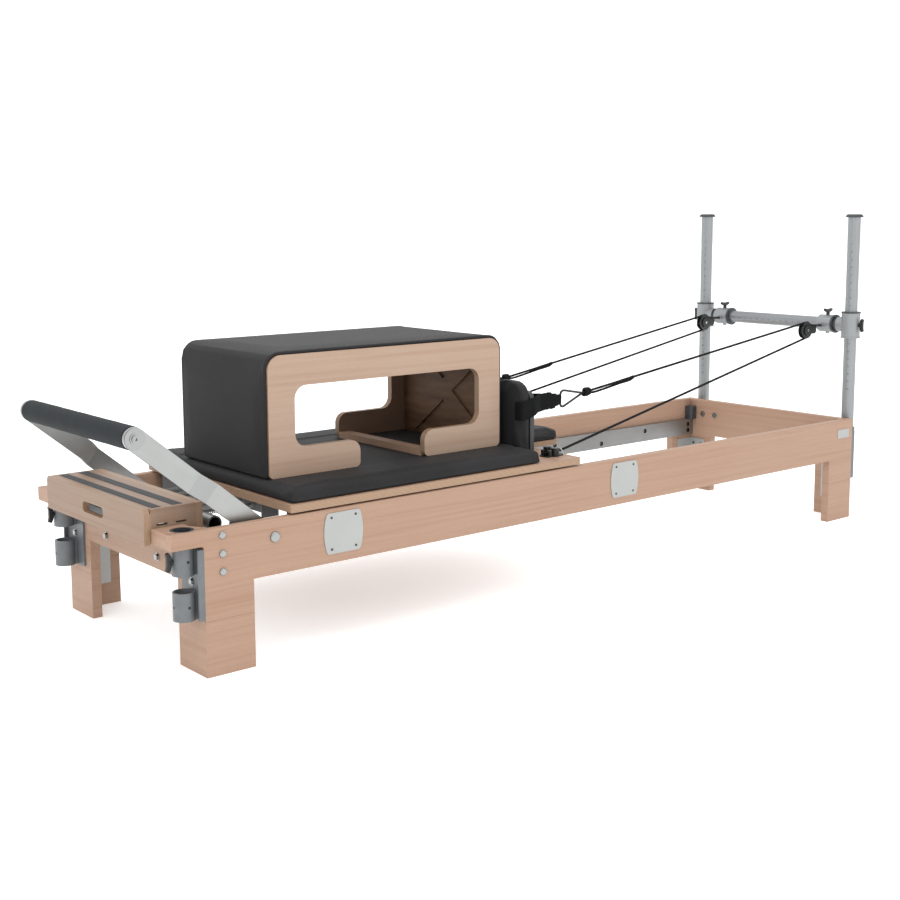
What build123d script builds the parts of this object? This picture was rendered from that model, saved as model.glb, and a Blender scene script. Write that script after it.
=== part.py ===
from build123d import *
import math
import os

# Driving dimensions in millimetres. X runs from the foot end to the riser end, Y across, Z up.
# Sizes below are laid out from the foot-end leg face (X = 0) and moved by X_MID on export.
X_MID = 1159.25

# bench frame
LENGTH = 2400.0
HALF_W = 346.0
BOARD_T = 25.0
TOP_Z = 328.0
RAIL_BOTTOM_Z = 201.0
JOINT_Z = 126.0
LEG_X = 122.0
LEG_Y = 122.0
NOSE_X = -77.0
NOSE_Z = 294.0
INNER_Y = HALF_W - BOARD_T

# pole sockets, riser poles and crossbar
SOCKET_OFF = 30.0
SOCKET_Y = 306.0
POLE_R = 20.0
BORE_R = 20.05
COLLAR_R = 24.5
UPPER_COLLAR = (229.0, 293.6)
LOWER_COLLAR = (129.0, 192.0)
POLE_X = LENGTH + SOCKET_OFF
POLE_BOTTOM_Z = 129.0
POLE_TOP_Z = 984.0
BAR_Z = 633.0
CLAMP_R = 30.0
CLAMP_H = 86.0
COLLAR_Y = 217.0
COLLAR_LEN = 54.0
PULLEY_X = 2310.0
PULLEY_Y = 214.0
PULLEY_Z = 616.0
PULLEY_R = 27.0
GROOVE_R = 19.5

# footbar
PIVOT = (178.0, 287.0)
ARM_LEN = 382.6
ARM_ANGLE = 39.67
ARM_W = 50.0
ARM_T = 8.0
ARM_TOP_Y = 275.0
ARM_LOW_Y = 303.0
GRIP_R = 26.5

# carriage
CAR_X0 = 223.0
CAR_X1 = 1142.0
CAR_HALF = 344.0
CAR_Z0 = 333.0
CAR_Z1 = 351.0
PAD_X1 = 1006.0
PAD_TOP = 385.0
TRACK_TOP = 257.0
TRACK_T = 14.0
TRACK_X0 = 150.0
WHEEL_R = 22.0
WHEEL_XS = (285.0, 1030.0)

# shoulder rests and headrest
REST_X = 1002.0
REST_Y0 = 130.0
REST_Y1 = 260.0
HEAD_X0 = 1078.0
HEAD_X1 = 1249.0
HEAD_HALF = 157.0
HEAD_HINGE = (1074.5, 355.0)

# sitting box
BOX_X0 = 252.0
BOX_X1 = 968.0
BOX_Y0 = -210.0
BOX_Y1 = 188.0
BOX_SIDE_T = 18.0
BOX_Z0 = 385.5
BOX_SIDE_TOP = 675.0
COVER_TOP = 684.0

# standing platform
PLAT_X0 = -92.0
PLAT_X1 = 51.0
PLAT_HALF = 252.0
PLAT_Z0 = 296.0
PLAT_TOP = 372.0

# ropes and straps
ROPE_R = 3.5
WRAP_R = GROOVE_R + ROPE_R + 0.4
CLEAT = (1098.0, 275.0)


def block(x0, x1, y0, y1, z0, z1):
    """A box from its six limits."""
    size = (x1 - x0, y1 - y0, z1 - z0)
    centre = ((x0 + x1) / 2, (y0 + y1) / 2, (z0 + z1) / 2)
    return Pos(*centre) * Box(*size)


def rod(axis, centre, radius, length):
    """A cylinder along X, Y or Z about its centre."""
    turn = {"X": (0, 90, 0), "Y": (90, 0, 0), "Z": (0, 0, 0)}[axis]
    return Pos(*centre) * (Rot(*turn) * Cylinder(radius, length))


def tube(axis, centre, outer, inner, length):
    """A hollow cylinder."""
    return rod(axis, centre, outer, length) - rod(axis, centre, inner, length + 2)


def prism_xz(points, y0, y1):
    """A polygon in the XZ plane pushed from y0 to y1."""
    face = make_face(Polyline(*[(x, y0, z) for x, z in points], close=True))
    return extrude(face, amount=y1 - y0, dir=(0, 1, 0))


def prism_yz(points, x0, x1):
    """A polygon in the YZ plane pushed from x0 to x1."""
    face = make_face(Polyline(*[(x0, y, z) for y, z in points], close=True))
    return extrude(face, amount=x1 - x0, dir=(1, 0, 0))


def prism_xy(points, z0, z1):
    """A polygon in the XY plane pushed from z0 to z1."""
    face = make_face(Polyline(*[(x, y, z0) for x, y in points], close=True))
    return extrude(face, amount=z1 - z0, dir=(0, 0, 1))


def far(shape):
    """The same shape on the other side of the centre plane."""
    return mirror(shape, about=Plane.XZ)


def riser(shape):
    """The same shape at the other end of the frame."""
    return Pos(LENGTH, 0, 0) * mirror(shape, about=Plane.YZ)


def round_z(shape, radius):
    """Rounds every upright edge."""
    return fillet(shape.edges().filter_by(Axis.Z), radius)


def side_rail():
    """Near rail, its two leg boards and its nose, cut from one board."""
    outline = [(NOSE_X, NOSE_Z), (NOSE_X, TOP_Z), (LENGTH, TOP_Z), (LENGTH, JOINT_Z),
               (LENGTH - LEG_X, JOINT_Z), (LENGTH - LEG_X, RAIL_BOTTOM_Z), (LEG_X, RAIL_BOTTOM_Z),
               (LEG_X, JOINT_Z), (0, JOINT_Z), (0, NOSE_Z)]
    rail = prism_xz(outline, -HALF_W, -INNER_Y)
    top = rail.edges().filter_by(Axis.X).group_by(Axis.Z)[-1]
    rail = fillet(top, 4)
    corner = [e for e in rail.edges().filter_by(Axis.Y)
              if abs(e.center().X) < 1 and abs(e.center().Z - NOSE_Z) < 1]
    rail = fillet(corner, 6)
    rail -= rod("Z", (-SOCKET_OFF, -SOCKET_Y, 311), 26.5, 60)
    rail -= rod("Y", (PIVOT[0], -333, PIVOT[1]), 6.0, 60)
    return rail


def corner_block():
    """Block inside the nose that carries the other half of the socket ring."""
    outline = [(NOSE_X, -INNER_Y), (NOSE_X, -256), (0, -256), (0, -282), (20, -INNER_Y)]
    shape = prism_xy(outline, NOSE_Z, TOP_Z)
    return shape - rod("Z", (-SOCKET_OFF, -SOCKET_Y, 311), 26.5, 60)


def foot_end_board():
    """Foot end board with its two leg parts, an inverted U."""
    outline = [(-INNER_Y, JOINT_Z), (-INNER_Y, NOSE_Z), (-257, NOSE_Z), (-257, 291),
               (257, 291), (257, NOSE_Z), (INNER_Y, NOSE_Z), (INNER_Y, JOINT_Z),
               (HALF_W - LEG_Y, JOINT_Z), (HALF_W - LEG_Y, 200),
               (LEG_Y - HALF_W, 200), (LEG_Y - HALF_W, JOINT_Z)]
    return prism_yz(outline, 0, BOARD_T)


def riser_end_board():
    """Riser end board, full height, with its two leg parts."""
    outline = [(-INNER_Y, JOINT_Z), (-INNER_Y, TOP_Z), (INNER_Y, TOP_Z), (INNER_Y, JOINT_Z),
               (HALF_W - LEG_Y, JOINT_Z), (HALF_W - LEG_Y, RAIL_BOTTOM_Z),
               (LEG_Y - HALF_W, RAIL_BOTTOM_Z), (LEG_Y - HALF_W, JOINT_Z)]
    board = prism_yz(outline, LENGTH - BOARD_T, LENGTH)
    return fillet(board.edges().filter_by(Axis.Y).group_by(Axis.Z)[-1], 4)


def leg_extensions():
    """Four L-shaped leg feet below the joint line."""
    foot = prism_xy([(0, -HALF_W), (LEG_X, -HALF_W), (LEG_X, -INNER_Y), (BOARD_T, -INNER_Y),
                     (BOARD_T, LEG_Y - HALF_W), (0, LEG_Y - HALF_W)], 0, JOINT_Z)
    foot = chamfer(foot.edges().group_by(Axis.Z)[-1], 1.0)
    return [foot, far(foot), riser(foot), far(riser(foot))]


def leg_joint_plates():
    """Angle plates with screw holes inside each leg, across the joint."""
    reach = 70.0
    plate = block(BOARD_T, BOARD_T + 3, -INNER_Y, -INNER_Y + reach, 57, 185)
    plate += block(BOARD_T, BOARD_T + reach, -INNER_Y, -INNER_Y + 3, 57, 185)
    return [plate, far(plate), riser(plate), far(riser(plate))]


def pole_bracket():
    """Steel bracket on a leg's end face with two collars for a pole."""
    plate = block(-5, 0, -HALF_W, -252, 130, 287)
    plate += block(-15, -5, -HALF_W, -HALF_W + 5, 130, 287)
    for z0, z1 in (UPPER_COLLAR, LOWER_COLLAR):
        mid = (z0 + z1) / 2
        plate += rod("Z", (-SOCKET_OFF, -SOCKET_Y, mid), COLLAR_R, z1 - z0)
        plate += block(-18, -4, -SOCKET_Y - 15, -SOCKET_Y + 15, z0, z1)
    plate -= rod("Z", (-SOCKET_OFF, -SOCKET_Y, 200), BORE_R, 300)
    for z0, z1 in (UPPER_COLLAR, LOWER_COLLAR):
        mid = (z0 + z1) / 2
        plate -= rod("Y", (-SOCKET_OFF, -SOCKET_Y - 20, mid), 3.4, 20)
        plate -= rod("X", (-SOCKET_OFF - 20, -SOCKET_Y, mid), 3.05, 20)
    return plate


def pole_brackets():
    """The four brackets, two at each end."""
    one = pole_bracket()
    return [one, far(one), riser(one), far(riser(one))]


def socket_rings():
    """Liner rings let into the corner blocks."""
    ring = tube("Z", (-SOCKET_OFF, -SOCKET_Y, (NOSE_Z + TOP_Z) / 2), 26.5, BORE_R, TOP_Z - NOSE_Z)
    return [ring, far(ring)]


def tracks():
    """Flat aluminium bars the carriage runs on, with staggered bolt holes."""
    bar = block(TRACK_X0, LENGTH - BOARD_T, -INNER_Y, -INNER_Y + TRACK_T, 200, TRACK_TOP)
    for i, x in enumerate((234, 454, 674, 894, 1114, 1334, 1554, 1675, 1897, 2117)):
        z = 215.7 if i % 2 == 0 else 236.5
        bar -= rod("Y", (x, -INNER_Y + 12, z), 8.0, 6)
    for z in (215.7, 237.5):
        bar -= rod("Y", (2347, -INNER_Y + 12, z), 8.0, 6)
    return [bar, far(bar)]


def rear_stops():
    """Rubber buffers standing on the track ends, one per corner."""
    stop = round_z(block(2343, 2374.7, -INNER_Y, -289, TRACK_TOP, 303), 8)
    return [stop, far(stop)]


def bulged_plate(x_mid, z0, z1, width, bulge):
    """Name plate with flat top and bottom and bowed sides."""
    half = width / 2
    with BuildPart() as part:
        with BuildSketch(Plane.XZ.offset(HALF_W)) as sk:
            with BuildLine():
                a, b = (x_mid - half, z0), (x_mid + half, z0)
                c, d = (x_mid + half, z1), (x_mid - half, z1)
                mid = (z0 + z1) / 2
                Line(a, b)
                ThreePointArc(b, (x_mid + half + bulge, mid), c)
                Line(c, d)
                ThreePointArc(d, (x_mid - half - bulge, mid), a)
            make_face()
            fillet(sk.vertices(), 9)
        extrude(amount=2.0)
    return part.part


def side_plates():
    """Blank name plates and the small blank label plate on the rails."""
    shapes = []
    for x in (363.5, 1310.5):
        plate = bulged_plate(x, 222, 318.5, 92, 9)
        shapes += [plate, far(plate)]
    label = block(2318, 2381, -HALF_W - 1.2, -HALF_W, 270, 298)
    label = fillet(label.edges().filter_by(Axis.Y), 4)
    return shapes + [label]


def dome(x, z, radius, height):
    """Domed bolt head on the outer face of the near rail."""
    head = rod("Y", (x, -HALF_W - height / 2, z), radius, height)
    return fillet(head.edges().group_by(Axis.Y)[0], height * 0.8)


def hex_head(x, y, z, across, height, facing):
    """Hexagon head on a thin washer, facing +X or -X."""
    prism = extrude(RegularPolygon(across / 1.732, 6), amount=height)
    washer = Cylinder(across * 0.75, 1.2, align=(Align.CENTER, Align.CENTER, Align.MIN))
    return Pos(x, y, z) * (Rot(0, 90 * facing, 0) * (prism + washer))


def frame_bolts():
    """Dome bolts at the corners, hexagon bolts on the end boards and brackets."""
    shapes = []
    for z in (312, 271, 231):
        head = dome(45, z, 8.5, 4.0)
        shapes += [head, far(head)]
    for y in (-131, 131):
        shapes.append(hex_head(0, y, 229, 13, 6, -1))
    for y in (-262, -208, 208, 262):
        shapes.append(hex_head(LENGTH - BOARD_T, y, 277.5, 13, 6, -1))
    for side in (-1, 1):
        shapes.append(hex_head(-5, side * 297, 208, 12, 4.6, -1))
        shapes.append(hex_head(LENGTH + 5, side * 266, 208, 12, 4.6, 1))
    return shapes


def small_screws():
    """Countersunk screw heads of the plates and the tracks."""
    shapes = []
    for x in (363.5, 1310.5):
        for dx in (-34, 34):
            for z in (233, 307.5):
                head = rod("Y", (x + dx, -HALF_W - 2.4, z), 3.0, 0.8)
                shapes += [head, far(head)]
    for z in (75, 105, 145, 168):
        for y in (-300, -268):
            head = rod("X", (BOARD_T + 3.8, y, z), 4.0, 1.6)
            shapes += [head, far(head), riser(head), far(riser(head))]
    for i, x in enumerate((234, 454, 674, 894, 1114, 1334, 1554, 1675, 1897, 2117)):
        z = 215.7 if i % 2 == 0 else 236.5
        head = rod("Y", (x, -INNER_Y + 10.5, z), 4.6, 3)
        shapes += [head, far(head)]
    for z in (215.7, 237.5):
        head = rod("Y", (2347, -INNER_Y + 10.5, z), 4.6, 3)
        shapes += [head, far(head)]
    return shapes


def crossboard_plate():
    """Thin angle strip along the top front edge of the foot end board."""
    strip = block(-3, BOARD_T, -243, 243, 291, 294)
    return strip + block(-3, 0, -243, 243, 276, 294)


def spring_bar():
    """Hollow bar the springs hook to, on a bracket from each rail."""
    x, z = 75.0, 318.0
    bar = tube("Y", (x, 0, z), 18, 14.5, 524)
    shapes = [bar]
    for side in (-1, 1):
        y0, y1 = sorted((side * 250, side * INNER_Y))
        hanger = block(x - 12, x + 12, y0, y1, 278, 300.0)
        hanger -= rod("Y", (x, 0, z), 18.02, 700)
        shapes.append(hanger)
    return shapes


def footbar_pivots():
    """Pivot bolts of the footbar with large domed heads."""
    x, z = PIVOT
    head = dome(x, z, 12.5, 5.0)
    bolt = head + rod("Y", (x, -320, z), 6.0, 52)
    bolt += rod("Y", (x, -292.2, z), 10.0, 4.4)
    return [bolt, far(bolt)]


def footbar_rests():
    """Rubber-topped blocks on the rails that carry the lowered footbar arms."""
    x0, x1 = 92.0, 114.0
    top = []
    for x in (x0, x1):
        centre = PIVOT[1] + (PIVOT[0] - x) * math.tan(math.radians(ARM_ANGLE))
        top.append(centre - (ARM_W / 2 + 0.6) / math.cos(math.radians(ARM_ANGLE)))
    outline = [(x0, 262), (x1, 262), (x1, top[1]), (x0, top[0])]
    rest = prism_xz(outline, -INNER_Y, -ARM_LOW_Y + ARM_T)
    return [rest, far(rest)]


def riser_poles():
    """The two upright tubes."""
    mid = (POLE_BOTTOM_Z + POLE_TOP_Z) / 2
    pole = tube("Z", (POLE_X, -SOCKET_Y, mid), POLE_R, POLE_R - 2.5, POLE_TOP_Z - POLE_BOTTOM_Z)
    return [pole, far(pole)]


def pole_caps():
    """Domed caps on the poles."""
    cap = rod("Z", (POLE_X, -SOCKET_Y, POLE_TOP_Z + 5), 28, 10)
    cap = fillet(cap.edges().group_by(Axis.Z)[-1], 8.5)
    cap += rod("Z", (POLE_X, -SOCKET_Y, POLE_TOP_Z - 8), POLE_R - 2.5, 17)
    return [cap, far(cap)]


def arm_place():
    """Frame of the near arm: origin on the pivot, X along the arm, Z across it."""
    return Pos(PIVOT[0], 0, PIVOT[1]) * Rot(0, ARM_ANGLE - 180, 0)


def footbar_arm():
    """Flat joggled arm, drawn flat and then laid to its angle."""
    low, top, t, half = -ARM_LOW_Y, -ARM_TOP_Y, ARM_T, ARM_W / 2
    path = [(-half, low), (170, low), (205, top), (ARM_LEN + half, top),
            (ARM_LEN + half, top + t), (203.5, top + t), (168.5, low + t), (-half, low + t)]
    strip = prism_xy(path, -half, half)
    outline = block(0, ARM_LEN, -330, -240, -half, half)
    outline += rod("Y", (0, -285, 0), half, 90)
    outline += rod("Y", (ARM_LEN, -285, 0), half, 90)
    arm = strip & outline
    arm -= rod("Y", (0, -299, 0), 6.05, 30)
    arm -= rod("Y", (ARM_LEN, -271, 0), 5.0, 30)
    return arm_place() * (Rot(180, 0, 0) * far(arm))


def footbar_arms():
    """Both arms."""
    arm = footbar_arm()
    return [arm, far(arm)]


def bar_axis():
    """X and Z of the footbar tube."""
    turn = math.radians(ARM_ANGLE)
    return PIVOT[0] - ARM_LEN * math.cos(turn), PIVOT[1] + ARM_LEN * math.sin(turn)


def footbar_tube():
    """Tube between the arms with threaded end plugs."""
    x, z = bar_axis()
    half = ARM_TOP_Y - ARM_T
    shape = tube("Y", (x, 0, z), 16, 13, 2 * half)
    for side in (-1, 1):
        shape += tube("Y", (x, side * (half - 10), z), 13.5, 5.0, 20)
    return shape


def footbar_grip():
    """Foam sleeve on the footbar tube."""
    x, z = bar_axis()
    sleeve = tube("Y", (x, 0, z), GRIP_R, 16.0, 2 * (ARM_TOP_Y - ARM_T) - 1)
    return fillet(sleeve.edges().filter_by(GeomType.CIRCLE).sort_by(SortBy.RADIUS)[-2:], 3)


def footbar_bolts():
    """End bolts with washers."""
    x, z = bar_axis()
    bolt = rod("Y", (x, -ARM_TOP_Y - 0.75, z), 24.0, 1.5)
    bolt += rod("Y", (x, -ARM_TOP_Y - 2.0, z), 12.5, 2.0)
    bolt += rod("Y", (x, -ARM_TOP_Y - 4.0, z), 8.5, 3.0)
    bolt += rod("Y", (x, -ARM_TOP_Y + 12, z), 5.0, 26)
    bolt -= rod("Y", (x, -ARM_TOP_Y - 4.5, z), 3.6, 4.0)
    return [bolt, far(bolt)]


def crossbar_tube():
    """Level tube between the pole clamps."""
    return tube("Y", (POLE_X, 0, BAR_Z), POLE_R, POLE_R - 2.5, 2 * (SOCKET_Y - CLAMP_R + 2))


def pole_clamp():
    """Sleeve on a pole with a boss for the crossbar and a knob hole."""
    z0 = BAR_Z - CLAMP_H / 2
    body = rod("Z", (POLE_X, -SOCKET_Y, BAR_Z - 2), CLAMP_R, CLAMP_H - 4)
    body += rod("Z", (POLE_X, -SOCKET_Y, z0 + 2), CLAMP_R + 1.5, 4)
    body += rod("Y", (POLE_X, -SOCKET_Y + 30, BAR_Z), 24.0, 30)
    body -= rod("Y", (POLE_X, 0, BAR_Z), POLE_R, 2 * (SOCKET_Y - CLAMP_R + 2))
    body -= rod("Z", (POLE_X, -SOCKET_Y, BAR_Z), BORE_R, CLAMP_H + 40)
    body -= rod("Y", (POLE_X, -SOCKET_Y - 25, BAR_Z), 3.05, 20)
    return body


def pole_clamps():
    """Both clamps."""
    return [pole_clamp(), far(pole_clamp())]


def clamp_rings():
    """Dark rings on the clamps and the bar collars."""
    top = BAR_Z + CLAMP_H / 2 - 2
    a = tube("Z", (POLE_X, -SOCKET_Y, top), CLAMP_R + 1.5, BORE_R, 4)
    b = tube("Y", (POLE_X, -SOCKET_Y + 47, BAR_Z), 24.0, POLE_R, 4)
    c = tube("Y", (POLE_X, -COLLAR_Y - COLLAR_LEN / 2 - 3.5, BAR_Z), 30.5, POLE_R, 7)
    d = tube("Y", (POLE_X, COLLAR_Y - COLLAR_LEN / 2 - 3.5, BAR_Z), 30.5, POLE_R, 7)
    return [a, far(a), b, far(b), c, d]


def bar_collars():
    """Collars on the crossbar that carry the pulleys."""
    collar = rod("Y", (POLE_X, -COLLAR_Y, BAR_Z), 28.5, COLLAR_LEN)
    collar += rod("X", (POLE_X - 29, -PULLEY_Y, BAR_Z - 5), 9, 14)
    collar += rod("Z", (POLE_X, -COLLAR_Y, BAR_Z - 29), 6, 8)
    collar -= rod("Y", (POLE_X, -COLLAR_Y, BAR_Z), POLE_R, COLLAR_LEN + 2)
    collar -= rod("Z", (POLE_X, -COLLAR_Y, BAR_Z + 25), 3.05, 20)
    return [collar, far(collar)]


def pulley_block():
    """Swivel neck and two cheek plates around a sheave."""
    x, y, z = PULLEY_X, -PULLEY_Y, PULLEY_Z
    body = rod("X", (x + 63, y, BAR_Z - 5), 5, 42)
    body += block(x + 30, x + 44, y - 12, y + 12, z - 8, z + 18)
    for side in (-1, 1):
        cheek = rod("Y", (x, y + side * 10.2, z), 17, 3.6)
        cheek += block(x, x + 40, y + side * 10.2 - 1.8, y + side * 10.2 + 1.8, z - 12, z + 14)
        body += cheek
    body += rod("Y", (x, y, z), 4.0, 27)
    return body


def pulley_blocks():
    """Both pulley blocks."""
    return [pulley_block(), far(pulley_block())]


def pulley_wheel():
    """Grooved sheave."""
    x, y, z = PULLEY_X, -PULLEY_Y, PULLEY_Z
    wheel = tube("Y", (x, y, z), GROOVE_R, 4.05, 16)
    for side in (-1, 1):
        wheel += tube("Y", (x, y + side * 7.0, z), PULLEY_R, 4.05, 2.0)
    return wheel


def wing_knob(span=44.0, depth=11.0, stem=12.0, shank=6.3):
    """Wing knob about the Z axis, wing on top and threaded shank going down."""
    outline = [(-span / 2, stem + depth * 0.35), (-span / 2 + 4, stem), (-7, stem - 4), (7, stem - 4),
               (span / 2 - 4, stem), (span / 2, stem + depth * 0.35), (span / 2 - 3, stem + depth),
               (8, stem + depth - 2), (-8, stem + depth - 2), (-span / 2 + 3, stem + depth)]
    knob = prism_xz(outline, -4, 4)
    knob += rod("Z", (0, 0, stem / 2), 6.0, stem)
    knob += rod("Z", (0, 0, -shank / 2), 3.0, shank)
    return knob


def socket_knobs():
    """Wing knobs of the foot-end sockets, pointing to the foot end."""
    z = (UPPER_COLLAR[0] + UPPER_COLLAR[1]) / 2
    knob = Rot(0, -90, 0) * wing_knob(44, 10, 6.0, 4.0)
    near = Pos(-SOCKET_OFF - COLLAR_R - 0.4, -SOCKET_Y, z) * knob
    return near, far(near)


def clamp_knobs():
    """Wing knobs of the pole clamps, pointing outward."""
    knob = Rot(90, 0, 0) * (Rot(0, 0, 90) * wing_knob(44, 10, 8.0, 9.0))
    near = Pos(POLE_X, -SOCKET_Y - CLAMP_R - 0.4, BAR_Z) * knob
    return near, far(near)


def collar_knobs():
    """Wing knobs on top of the bar collars."""
    near = Pos(POLE_X, -COLLAR_Y, BAR_Z + 28.9) * wing_knob(42, 9, 12.0, 7.5)
    return near, far(near)


def carriage_board():
    """Plywood deck of the carriage."""
    board = round_z(block(CAR_X0, CAR_X1, -CAR_HALF, CAR_HALF, CAR_Z0, CAR_Z1), 5)
    for y in (-REST_Y1 + 30, -REST_Y0 - 30, REST_Y0 + 30, REST_Y1 - 30):
        board -= rod("Z", (REST_X + 39, y, CAR_Z1 - 6), 5.05, 12.4)
    return board


def carriage_pad():
    """Upholstered pad on the deck."""
    pad = round_z(block(CAR_X0 + 8, PAD_X1, -CAR_HALF + 8, CAR_HALF - 8, CAR_Z1, PAD_TOP), 12)
    pad = fillet(pad.faces().sort_by(Axis.Z)[-1].edges(), 9)
    for y in (-REST_Y1 - 2, REST_Y0 - 2):
        pad -= block(REST_X - 2, PAD_X1 + 5, y, y + REST_Y1 - REST_Y0 + 4, CAR_Z1 - 5, PAD_TOP + 5)
    return pad


def carriage_brackets():
    """Wheel brackets under the deck, the springs' hook bar and the headrest's hinge pin."""
    shapes = []
    for x in WHEEL_XS:
        one = block(x - 45, x + 55, -302, -298, 262, CAR_Z0)
        one += block(x - 45, x + 55, -302, -262, CAR_Z0 - 4, CAR_Z0)
        one += rod("Y", (x, -305.2, TRACK_TOP + WHEEL_R + 0.3), 4.0, 9.5)
        one += block(x + 12, x + 36, -302, -280, 262, 266)
        one += rod("Z", (x + 24, -INNER_Y + TRACK_T + 14.4, 252), 4.0, 24)
        shapes += [one, far(one)]
    hook = block(262, 266, -185, 185, 296, CAR_Z0)
    for y in (-187, 187):
        hook += block(242, 288, y - 2, y + 2, 292, CAR_Z0)
    return shapes + [hook, headrest_hinge()]


def side_rollers():
    """Guide rollers that run against the inner faces of the tracks."""
    shapes = []
    for x in WHEEL_XS:
        centre = (x + 24, -INNER_Y + TRACK_T + 14.4, 248)
        one = tube("Z", centre, 14, 4.0, 12)
        shapes += [one, far(one)]
    return shapes


def track_wheels(x):
    """A pair of wheels on the same line across the carriage."""
    wheel = tube("Y", (x, -310.5, TRACK_TOP + WHEEL_R + 0.3), WHEEL_R, 4.05, 13)
    return [wheel, far(wheel)]


def headrest_board():
    """Board of the headrest with the moving knuckle of its hinge."""
    board = round_z(block(HEAD_X0, HEAD_X1, -HEAD_HALF, HEAD_HALF, CAR_Z1 + 0.4, 366), 24)
    x, z = HEAD_HINGE
    board += rod("Y", (x, 0, z), 3.0, 240)
    board += block(x, HEAD_X0 + 1, -120, 120, z - 3, z)
    return board - rod("Y", (x, 0, z), 2.05, 250)


def headrest_hinge():
    """Hinge pin and its two lugs on the deck."""
    x, z = HEAD_HINGE
    hinge = rod("Y", (x, 0, z), 2.0, 256)
    for y in (-130, 124):
        hinge += rod("Y", (x, y + 3, z), 3.2, 6)
        hinge += block(x - 3.2, x + 3.2, y, y + 6, CAR_Z1, z)
    return hinge


def headrest_pad():
    """Pad of the headrest."""
    pad = round_z(block(HEAD_X0, HEAD_X1, -HEAD_HALF, HEAD_HALF, 366, 394), 26)
    return fillet(pad.faces().sort_by(Axis.Z)[-1].edges(), 11)


def shoulder_rest():
    """Back plate, foot and two pegs of a shoulder rest."""
    z0 = CAR_Z1 + 0.4
    plate = block(REST_X + 32, REST_X + 46, -REST_Y1, -REST_Y0, z0, 529)
    plate = fillet(plate.edges().filter_by(Axis.X).group_by(Axis.Z)[-1], 22)
    for y in (-REST_Y1 + 30, -REST_Y0 - 30):
        plate += rod("Z", (REST_X + 39, y, CAR_Z1 - 5), 5.0, 12)
    foot = block(REST_X + 46, REST_X + 56, -REST_Y1 + 20, -REST_Y0 - 35, z0, z0 + 4)
    return plate + foot


def shoulder_pad():
    """Upholstered pad with a rounded head."""
    pad = block(REST_X, REST_X + 32, -REST_Y1, -REST_Y0, CAR_Z1 + 1.0, 556)
    pad = fillet(pad.edges().filter_by(Axis.X).group_by(Axis.Z)[-1], 42)
    return fillet(pad.faces().sort_by(Axis.X)[0].edges(), 9)


def rope_cleat():
    """Cam cleat with its base, two cams and a wire guide."""
    x, y = CLEAT
    base = block(x - 33, x + 33, -y - 19, -y + 19, CAR_Z1, CAR_Z1 + 2.8)
    base = round_z(base, 12)
    for side in (-1, 1):
        base += rod("Z", (x, -y + side * 15.2, CAR_Z1 + 12), 11, 22)
        base += rod("Z", (x - 18, -y + side * 13, CAR_Z1 + 9), 6, 16)
    guide = Pos(x + 28, -y, CAR_Z1 + 2) * (Rot(0, 90, 0) * Torus(16, 1.6))
    guide = guide & block(x, x + 60, -y - 30, -y + 30, CAR_Z1 + 2.6, CAR_Z1 + 40)
    return [base, guide]


def rope_cleats():
    """Both cleats."""
    near = rope_cleat()
    return near + [far(s) for s in near]


def springs():
    """Five extension springs from the hook bar to the spring bar, shown as their envelopes."""
    x0, x1 = 75 + 18.4, 261.6
    shapes = []
    for y in (-120, -60, 0, 60, 120):
        shapes.append(tube("X", ((x0 + x1) / 2, y, 315), 10.5, 8.0, x1 - x0))
    return shapes


def box_side():
    """Side panel of the sitting box with its long slot and the gap between its feet."""
    y0, y1 = BOX_Y0, BOX_Y0 + BOX_SIDE_T
    panel = block(BOX_X0, BOX_X1, y0, y1, BOX_Z0, BOX_SIDE_TOP)
    panel = fillet(panel.edges().filter_by(Axis.Y).group_by(Axis.Z)[-1], 36)
    panel = fillet(panel.edges().filter_by(Axis.Y).group_by(Axis.Z)[0], 12)
    slot = block(325, 896, y0 - 5, y1 + 5, 453, 600)
    slot = fillet(slot.edges().filter_by(Axis.Y), 32)
    panel -= slot
    panel -= block(512.5, 713, y0 - 5, y1 + 5, BOX_Z0 - 5, 475)
    tips = [e for e in panel.edges().filter_by(Axis.Y)
            if abs(e.center().Z - 453) < 0.5 and 510 < e.center().X < 716]
    panel = fillet(tips, 28)
    feet = [e for e in panel.edges().filter_by(Axis.Y)
            if e.center().Z < BOX_Z0 + 0.5 and 510 < e.center().X < 716]
    return fillet(feet, 14)


def box_sides():
    """Both side panels."""
    return [box_side(), Pos(0, BOX_Y1 - BOX_Y0 - BOX_SIDE_T, 0) * box_side()]


def box_frame():
    """Inner frame of the box: ends, top, the two battens that join the feet, and a brace."""
    y0, y1 = BOX_Y0 + BOX_SIDE_T, BOX_Y1 - BOX_SIDE_T
    frame = block(BOX_X0 + 8, BOX_X0 + 26, y0, y1, BOX_Z0, 667)
    frame += block(BOX_X1 - 26, BOX_X1 - 8, y0, y1, BOX_Z0, 667)
    frame += block(BOX_X0 + 8, BOX_X1 - 8, y0, y1, 649, 667)
    frame = fillet(frame.edges().filter_by(Axis.Y).group_by(Axis.Z)[-1], 28)
    for x in (478, 713):
        frame += block(x, x + 34, y0, y1, BOX_Z0, BOX_Z0 + 17)
    wide = y1 - y0 - 60
    lean = math.degrees(math.atan2(235, wide))
    arm = Box(6, math.hypot(wide, 235), 46)
    brace = Pos(BOX_X1 - 29, (y0 + y1) / 2, 520) * (Rot(lean, 0, 0) * arm + Rot(-lean, 0, 0) * arm)
    return [frame, brace & block(900, BOX_X1 - 8, y0 + 2, y1 - 2, 395, 647)]


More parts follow.
